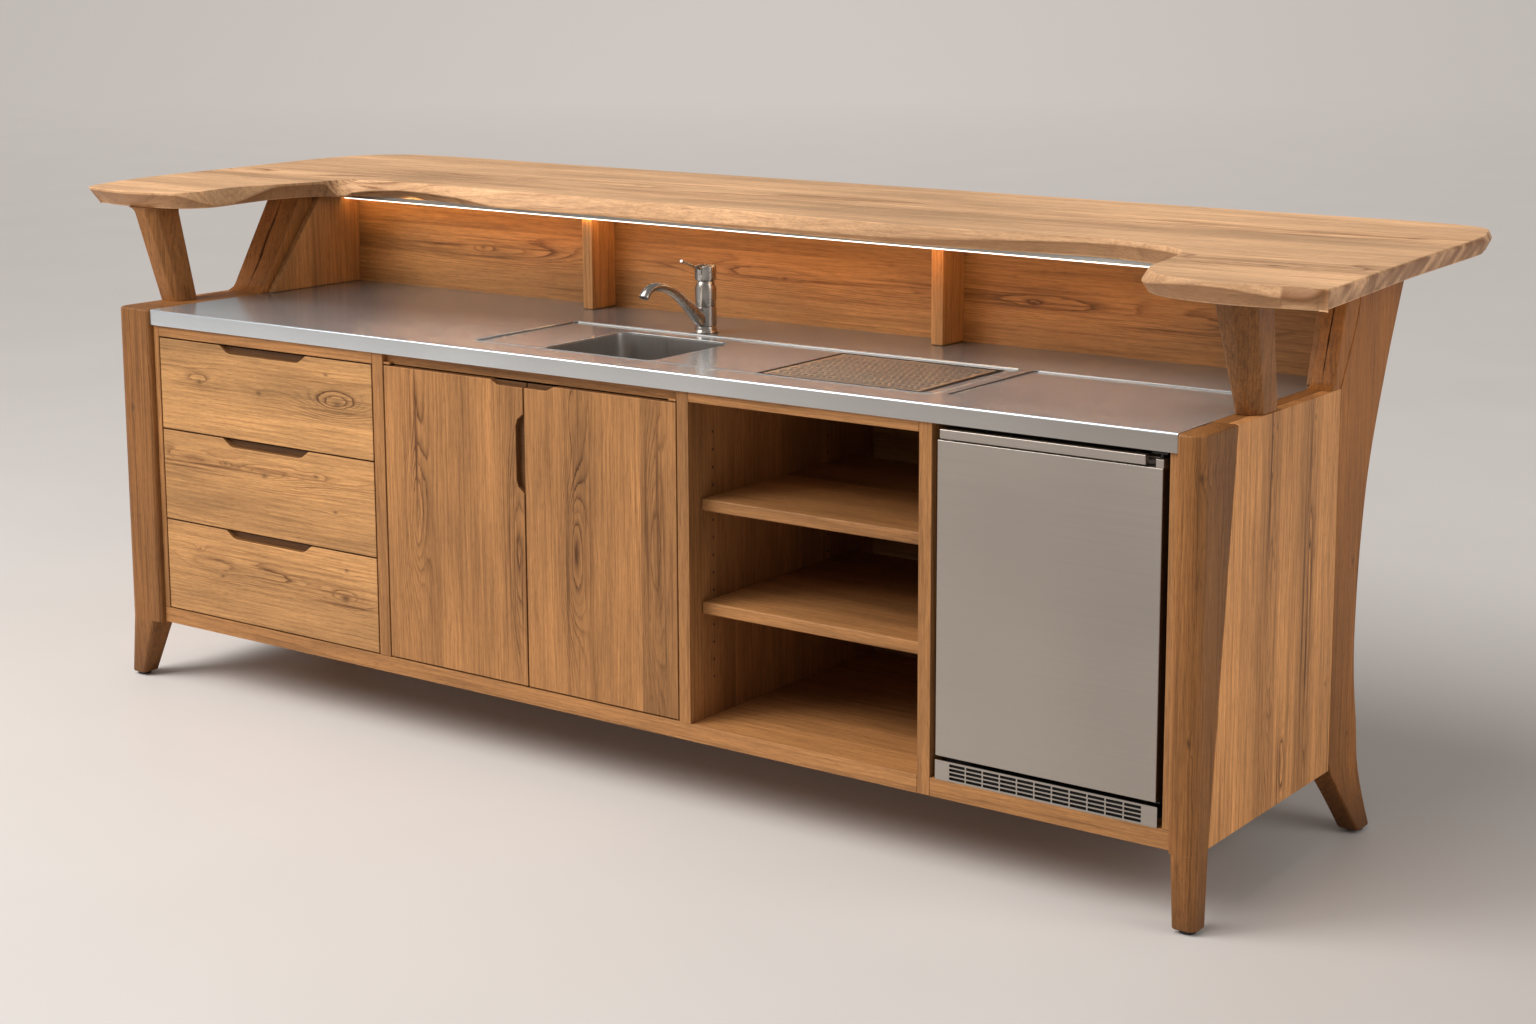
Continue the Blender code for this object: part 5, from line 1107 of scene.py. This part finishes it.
def sink_bowl():
    """Pressed bowl with soft corners, whose floor falls to the waste."""
    bm = bmesh.new()
    curve, lean = 0.030, 0.0015
    profile = [(-0.010, 0.0), (-0.003, 0.0), (-0.0006, 0.0008), (0.0004, 0.003), (0.0008, 0.030),
               (lean, 0.090)]
    for k in range(8):
        angle = math.radians(90 * k / 7)
        profile.append((lean + curve * (1 - math.cos(angle)), BOWL_WALL - curve + curve * math.sin(angle)))
    rings = []
    for inset, drop in profile:
        outline = inset_box(SINK, inset, max(0.010, SINK_CORNER - max(inset, 0.0) * 0.4), 7)
        rings.append(ringed(bm, outline, BOWL_RIM - drop))
    outline = inset_box(SINK, curve + lean, 0.018, 7)
    for share in (0.35, 0.7, 1.0):
        spots = [p.lerp(WASTE + (p - WASTE).normalized() * 0.040, share) for p in outline]
        rings.append(ringed(bm, spots, BOWL_RIM - blend(BOWL_WALL, BOWL_DEPTH - 0.0006, share)))
    skin(bm, rings)
    put("sink_pressing", thickened(bm, 0.001), steel_bowl, "sink_bowl")


def sink_strainer():
    """Plate over the waste, with one hole in the middle and two rings of holes round it."""
    holes = [circle(WASTE, 0.0030, 12)]
    for count, reach in ((6, 0.0095), (12, 0.0185)):
        for k in range(count):
            angle = 2 * math.pi * (k + 0.5) / count
            centre = WASTE + reach * Vector((math.cos(angle), math.sin(angle)))
            holes.append(circle(centre, 0.0026, 12))
    bm = perforated(circle(WASTE, 0.0255, 48), holes, BOWL_RIM - BOWL_DEPTH - 0.004)
    put("sink_strainer", thickened(bm, 0.001), polished, body="counter", slot="polished_steel")


def drip_grille():
    """Perforated plate: staggered slanted ovals inside a plain rim."""
    low, high = layout_box("drip_grille")
    columns, lines, rim = 24, 15, 0.009
    half_wide, half_tall, slant = 0.0061, 0.0085, math.radians(32.0)
    wide, tall = (high.x - low.x - 2 * rim) / columns, (high.y - low.y - 2 * rim) / lines
    holes = []
    for j in range(lines):
        odd = j % 2
        lean = Matrix.Rotation(slant if odd else -slant, 2)
        for i in range(columns - odd):
            centre = Vector((low.x + rim + (i + 0.5 + odd / 2) * wide, low.y + rim + (j + 0.5) * tall))
            holes.append([centre + lean @ Vector((half_wide * c, half_tall * s)) for c, s in turns(12)])
    bm = perforated(rounded(low.x, high.x, low.y, high.y, (0.002,) * 4, 3), holes, high.z)
    put("drip_plate", thickened(bm, high.z - low.z - 0.0002), steel_grille, "drip_grille")


# Mixer tap
TAP_STEPS = 64
TAP_POLISH = 50.0        # edges turn sharp above this angle


def turned(*profile):
    """Solid of revolution round the tap's axis, from radius and height above the worktop.

    The profile's corners are softened. It runs from axis to axis, or stands off the axis as a ring.
    """
    bm = bmesh.new()
    line = cut_corners([(radius, TOP + z) for radius, z in profile], 1)
    if line[0].x > 0.0:
        line.append(line[0])
    rings = []
    for radius, z in line:
        if radius < 1e-6:
            rings.append([bm.verts.new((*TAP, z))])
        else:
            rings.append(ringed(bm, circle(TAP, radius, TAP_STEPS), z))
    for first, second in zip(rings, rings[1:]):
        if len(first) == 1 or len(second) == 1:
            tip, hoop = (first[0], second) if len(first) == 1 else (second[0], first)
            for k in range(TAP_STEPS):
                bm.faces.new((tip, hoop[k], hoop[(k + 1) % TAP_STEPS]))
        else:
            skin(bm, (first, second))
    return bm


def tube(route, base, halves, talls, steps, tip=0.0, bm=None):
    """Tube along a softened route forward of the tap's axis.

    halves and talls are pairs of share of the length and half width or half height. tip is how far the
    end closes.
    """
    points = cut_corners([(a, base + b) for a, b in route], 3)
    last = len(points) - 1
    rows = []
    for i, p in enumerate(points):
        ahead = (points[min(i + 1, last)] - points[max(i - 1, 0)]).normalized()
        up = Vector((-ahead.y, ahead.x))
        share = i / last
        shrink = math.sqrt(1.0 - tip * max(0.0, (share - 0.965) / 0.035) ** 2)
        half, tall = (smooth_value(pairs, share) * shrink for pairs in (halves, talls))
        row = []
        for c, s in turns(steps):
            lift = up * (tall * s)
            row.append(Vector((TAP[0] + half * c, TAP[1] - p.x - lift.x, p.y + lift.y)))
        rows.append(row)
    return loft(rows, bm=bm)


def tap_column():
    """Column with a foot ring and a waist for the collar."""
    bm = turned(
        (0.0, -0.040), (0.0165, -0.040), (0.0165, GAP), (0.027, GAP), (0.027, 0.0030), (0.0262, 0.0045),
        (0.0236, 0.0060), (0.0235, 0.0155), (0.0165, 0.0155), (0.0165, 0.0585), (0.0235, 0.0585),
        (0.0235, 0.1135), (0.0, 0.1135))
    put("tap_column", bm, polished, "faucet_body", angle=TAP_POLISH)


def tap_spout():
    """Swivelling collar with the arched spout."""
    bm = turned((0.0172, 0.0165), (0.0230, 0.0165), (0.0236, 0.0175), (0.0236, 0.0565), (0.0230, 0.0575),
                (0.0172, 0.0575))
    tube(((0.012, 0.030), (0.026, 0.036), (0.050, 0.054), (0.074, 0.072), (0.112, 0.100), (0.156, 0.118),
          (0.190, 0.119), (0.208, 0.108), (0.215, 0.099)), TOP,
         ((0.0, 0.0135), (0.25, 0.0125), (0.5, 0.0105), (0.8, 0.0115), (0.93, 0.0125), (1.0, 0.0115)),
         ((0.0, 0.0205), (0.15, 0.0180), (0.35, 0.0120), (0.6, 0.0092), (0.9, 0.0092), (1.0, 0.0088)),
         28, tip=0.45, bm=bm)
    put("tap_spout", bm, polished, "faucet_spout", angle=TAP_POLISH)


CAP_LOW, CAP_HIGH = 0.1143, 0.1480       # above the worktop
LEVER_PIVOT = 0.1383


def tap_cap():
    """Cap with a slot for the lever."""
    bm = turned(
        (0.0, CAP_LOW), (0.0215, CAP_LOW), (0.0215, CAP_LOW + 0.0022), (0.0236, CAP_LOW + 0.0026),
        (0.0236, CAP_HIGH - 0.0040), (0.0224, CAP_HIGH - 0.0014), (0.0190, CAP_HIGH), (0.0, CAP_HIGH))
    low, high = layout_box("faucet_lever")
    half = (high.x - low.x) / 2 + 0.0008
    slot = add_box(bmesh.new(), TAP[0] - half, TAP[0] + half, TAP[1] - 0.040, TAP[1] + 0.008,
                   TOP + CAP_LOW + 0.0150, TOP + CAP_HIGH + 0.010, 0.0006, 1)
    put("tap_cap", carved(bm, slot), polished, "faucet_cap", angle=TAP_POLISH)


def tap_lever():
    """Slim lever with a root that fills the cap's slot in front."""
    bm = tube(((-0.004, -0.001), (0.010, 0.000), (0.026, 0.004), (0.046, 0.0125), (0.066, 0.0195),
               (0.086, 0.0265)), TOP + LEVER_PIVOT,
              ((0.0, 0.0056), (0.3, 0.0056), (0.7, 0.0042), (0.9, 0.0036), (0.96, 0.0044), (1.0, 0.0030)),
              ((0.0, 0.0085), (0.12, 0.0080), (0.3, 0.0034), (0.7, 0.0022), (0.9, 0.0022), (0.96, 0.0036),
               (1.0, 0.0024)), 20)
    reach, half = 0.0234, 0.0056
    widest = math.asin(half / reach)
    root = [Vector((TAP[0] + half * s, TAP[1] - 0.002)) for s in (1, -1)]
    for k in range(9):
        angle = widest * (k / 4 - 1)
        root.append(Vector((TAP[0] + reach * math.sin(angle), TAP[1] - reach * math.cos(angle))))
    loft([level(root, TOP + z) for z in (CAP_LOW + 0.0155, LEVER_PIVOT + 0.0030)], bm=bm)
    put("tap_lever", bm, polished, "faucet_lever", angle=TAP_POLISH)


def carved(bm, cutter):
    """The first mesh with the second cut out of it."""
    made = []
    for name, each in (("carve_a", bm), ("carve_b", cutter)):
        bmesh.ops.recalc_face_normals(each, faces=each.faces)
        made.append(linked(name, meshed(name, each)))
    cut = made[0].modifiers.new("cut", "BOOLEAN")
    cut.operation, cut.solver, cut.object = "DIFFERENCE", "EXACT", made[1]
    bpy.context.view_layer.update()
    result = bmesh.new()
    result.from_mesh(made[0].evaluated_get(bpy.context.evaluated_depsgraph_get()).data)
    for each in made:
        mesh = each.data
        bpy.data.objects.remove(each)
        bpy.data.meshes.remove(mesh)
    return result


# Cooler
def cooler():
    """Steel door skin with its white liner, and the handle."""
    low, high = layout_box("cooler_door")
    right, panel_top, ledge, top = high.x - 0.003, 0.833, 0.8325, high.z - 0.007
    lug = 0.016
    bm = add_box(bmesh.new(), low.x, right, low.y, high.y, low.z, panel_top, 0.0018)
    add_box(bm, low.x, right, 0.030, high.y, ledge, top, 0.0012)
    add_box(bm, right - lug, right, 0.010, 0.031, ledge, top, 0.0012)
    put("cooler_door_skin", bm, steel_door, "cooler_door")
    low, high = layout_box("cooler_gasket")
    edge = 0.030
    bm = add_box(bmesh.new(), low.x + edge, high.x - edge, low.y + GAP, high.y - 0.001, low.z + edge,
                 high.z - edge, 0.001)
    put("cooler_door_liner", bm, liner, body="cooler_door", slot="white_liner")
    low, high = layout_box("cooler_handle")
    bm = add_box(bmesh.new(), low.x - 0.010, high.x, low.y, low.y + 0.012, low.z, high.z, 0.0020)
    for x in (low.x + 0.014, high.x - 0.028):
        add_box(bm, x, x + 0.014, low.y + 0.010, high.y, low.z + 0.0015, high.z - 0.0015, 0.0010)
    put("cooler_handle_bar", bm, steel_door, "cooler_handle")


def vent():
    """Slotted plate under the cooler door, and a near-black sheet behind it as painted shadow in the slots.
    """
    low, high = layout_box("cooler_vent")
    columns, lines = 11, 4
    margin, border, bar, corner = 0.030, 0.0025, 0.0026, 0.0012
    wide = (high.x - low.x - 2 * margin) / columns
    tall = (high.z - low.z - 2 * border) / lines
    slots = []
    for i in range(columns):
        for j in range(lines):
            x, z = low.x + margin + i * wide, low.z + border + j * tall
            slots.append(inset_box((x, x + wide, z, z + tall), bar / 2, corner, 2))
    bm = perforated(inset_box((low.x, high.x, low.z, high.z), 0.0, corner, 3), slots)
    upright = Matrix(((1, 0, 0, 0), (0, 0, 1, low.y), (0, 1, 0, 0), (0, 0, 0, 1)))
    bmesh.ops.transform(bm, matrix=upright, verts=bm.verts)
    put("cooler_vent_plate", thickened(bm, 0.0012, Vector((0.0, -1.0, 0.0))), steel_door, "cooler_vent")
    # Near-black sheet behind the slots: painted shadow
    bm = add_box(bmesh.new(), low.x + 0.004, high.x - 0.004, 0.0125, 0.0140, low.z + 0.001, high.z - 0.001,
                 0.0004, 1)
    put("cooler_vent_shadow_sheet", bm, shadow, body="counter", slot="black_rubber")


# Light bar
def led():
    """Slim channel under the slab, with a lit line in front and a light towards the panel behind."""
    bm = node_mesh("led_bar")
    spots = sorted({(round(v.co.x, 5), round(v.co.y, 5)) for v in bm.verts})
    bm.free()
    a, b = ((Vector(p) + Vector(q)) / 2 for p, q in (spots[:2], spots[2:]))
    along = (b - a).normalized()
    across = Vector((-along.y, along.x))
    low, high = layout_box("led_bar")
    turn = Matrix(((along.x, across.x, 0, a.x), (along.y, across.y, 0, a.y), (0, 0, 1, 0), (0, 0, 0, 1)))
    lip = low.z + 0.0028
    for name, look, nodes, y0, y1, z0, z1 in (
            ("led_channel", channel, ("led_bar",), -0.0058, 0.0010, lip, high.z),
            ("led_diffuser", led_line, (), -0.0052, 0.0010, low.z + 0.0003, lip - 0.0001),
            ("led_backlight", led_back, (), 0.0012, 0.0056, low.z + 0.0003, high.z - 0.0030)):
        bm = add_box(bmesh.new(), 0.0, (b - a).length, y0, y1, z0, z1, 0.0006)
        bmesh.ops.transform(bm, matrix=turn, verts=bm.verts)
        put(name, bm, look, *nodes, body="counter", slot="led_light")


bar_top()
for end in (-1, 1):
    front_post(end)
    rear_leg(end)
    front_strut(end)
    rear_strut(end)
    cheek(end)
drawer_fronts()
doors()
boards()
pin_holes()
worktop_sheet()
sink_bowl()
sink_strainer()
drip_grille()
tap_column()
tap_spout()
tap_cap()
tap_lever()
cooler()
vent()
led()


# Stage, light and camera
def stage_floor():
    """Large pale floor that fades into the backdrop, with painted light far behind the counter and a painted
    shadow to its right.
    """
    bm = bmesh.new()
    bmesh.ops.create_circle(bm, cap_ends=True, segments=96, radius=220.0)
    mesh = meshed("floor", bm)
    floor = linked("floor", mesh)
    s = Surface("floor_paper_and_painted_light")
    mottle = s.noise(s.place, 1.5, 3.0)
    paper_and_painted_light = s.mix(mottle, (0.680, 0.655, 0.640), (0.720, 0.695, 0.680))
    # Painted light: the floor turns brighter far behind the counter
    depth = s.vector("DOT_PRODUCT", s.place, (-0.588, 0.809, 0.0))
    aside = s.calc("DIVIDE", s.vector("DOT_PRODUCT", s.place, (0.809, 0.588, 0.0)), s.calc("ADD", depth, 6.0))
    middle = s.calc("EXPONENT", s.times(s.times(aside, aside), -11.0))
    far = s.times(s.span(depth, 3.0, 25.0, 0.0, 1.0), middle)
    # Painted shadow: a dark patch on the floor to the counter's right
    painted_floor_shadow = s.bell(s.place, (2.6, 0.4, 0.0), (0.75, 0.45, 0.0), 0.40)
    paper_and_painted_light = s.mix(painted_floor_shadow, s.mix(far, paper_and_painted_light, (0.93, 0.885, 0.855)), (0.10, 0.085, 0.075))
    mesh.materials.append(s.finish(paper_and_painted_light, s.line(mottle, 0.1, 0.45)))


def area_light(name, place, aim, size, power, colour):
    """Soft rectangular light, in layout coordinates."""
    data = bpy.data.lights.new(name, "AREA")
    data.shape = "RECTANGLE"
    data.size, data.size_y = size
    data.energy = power
    data.color = colour
    lamp = linked(name, data)
    lamp.location = Vector(place) + SHIFT
    lamp.rotation_euler = (Vector(aim) - Vector(place)).to_track_quat("-Z", "Y").to_euler()


def studio():
    """World colour and soft lights."""
    world = bpy.data.worlds.new("studio")
    world.use_nodes = True
    back = world.node_tree.nodes["Background"]
    back.inputs["Color"].default_value = (0.80, 0.76, 0.72, 1.0)
    back.inputs["Strength"].default_value = 0.36
    bpy.context.scene.world = world
    sun = bpy.data.lights.new("sun", "SUN")
    sun.energy = 1.85
    sun.angle = math.radians(50.0)
    sun.color = (1.0, 0.97, 0.94)
    linked("sun", sun).rotation_euler = Vector((0.42, 0.62, -1.0)).to_track_quat("-Z", "Y").to_euler()
    area_light("key", (-3.2, -3.6, 4.2), (-0.3, 0.2, 0.6), (3.2, 3.2), 210.0, (1.0, 0.97, 0.93))
    area_light("side", (5.0, 0.5, 2.4), (0.9, 0.4, 0.6), (2.5, 2.5), 55.0, (1.0, 0.96, 0.92))


PHOTO_WIDTH, FOCAL_PIXELS = 1536.0, 2472.9


def camera():
    """Camera at the photograph's place and angle."""
    data = bpy.data.cameras.new("camera")
    data.sensor_width = 36.0
    data.lens = data.sensor_width * FOCAL_PIXELS / PHOTO_WIDTH
    data.shift_y = -150.0 / PHOTO_WIDTH
    right = Vector((0.80905, 0.58782, -0.00366))
    up = Vector((-0.0921, 0.1329, 0.9869))
    ahead = Vector((-0.5806, 0.7980, -0.1616))
    place = Vector((3.2033, -3.7736, 1.7069)) + SHIFT
    made = linked("camera", data)
    made.matrix_world = Matrix.Translation(place) @ Matrix((right, up, -ahead)).transposed().to_4x4()
    bpy.context.scene.camera = made


stage_floor()
studio()
camera()
bpy.context.scene.view_settings.view_transform = "Standard"
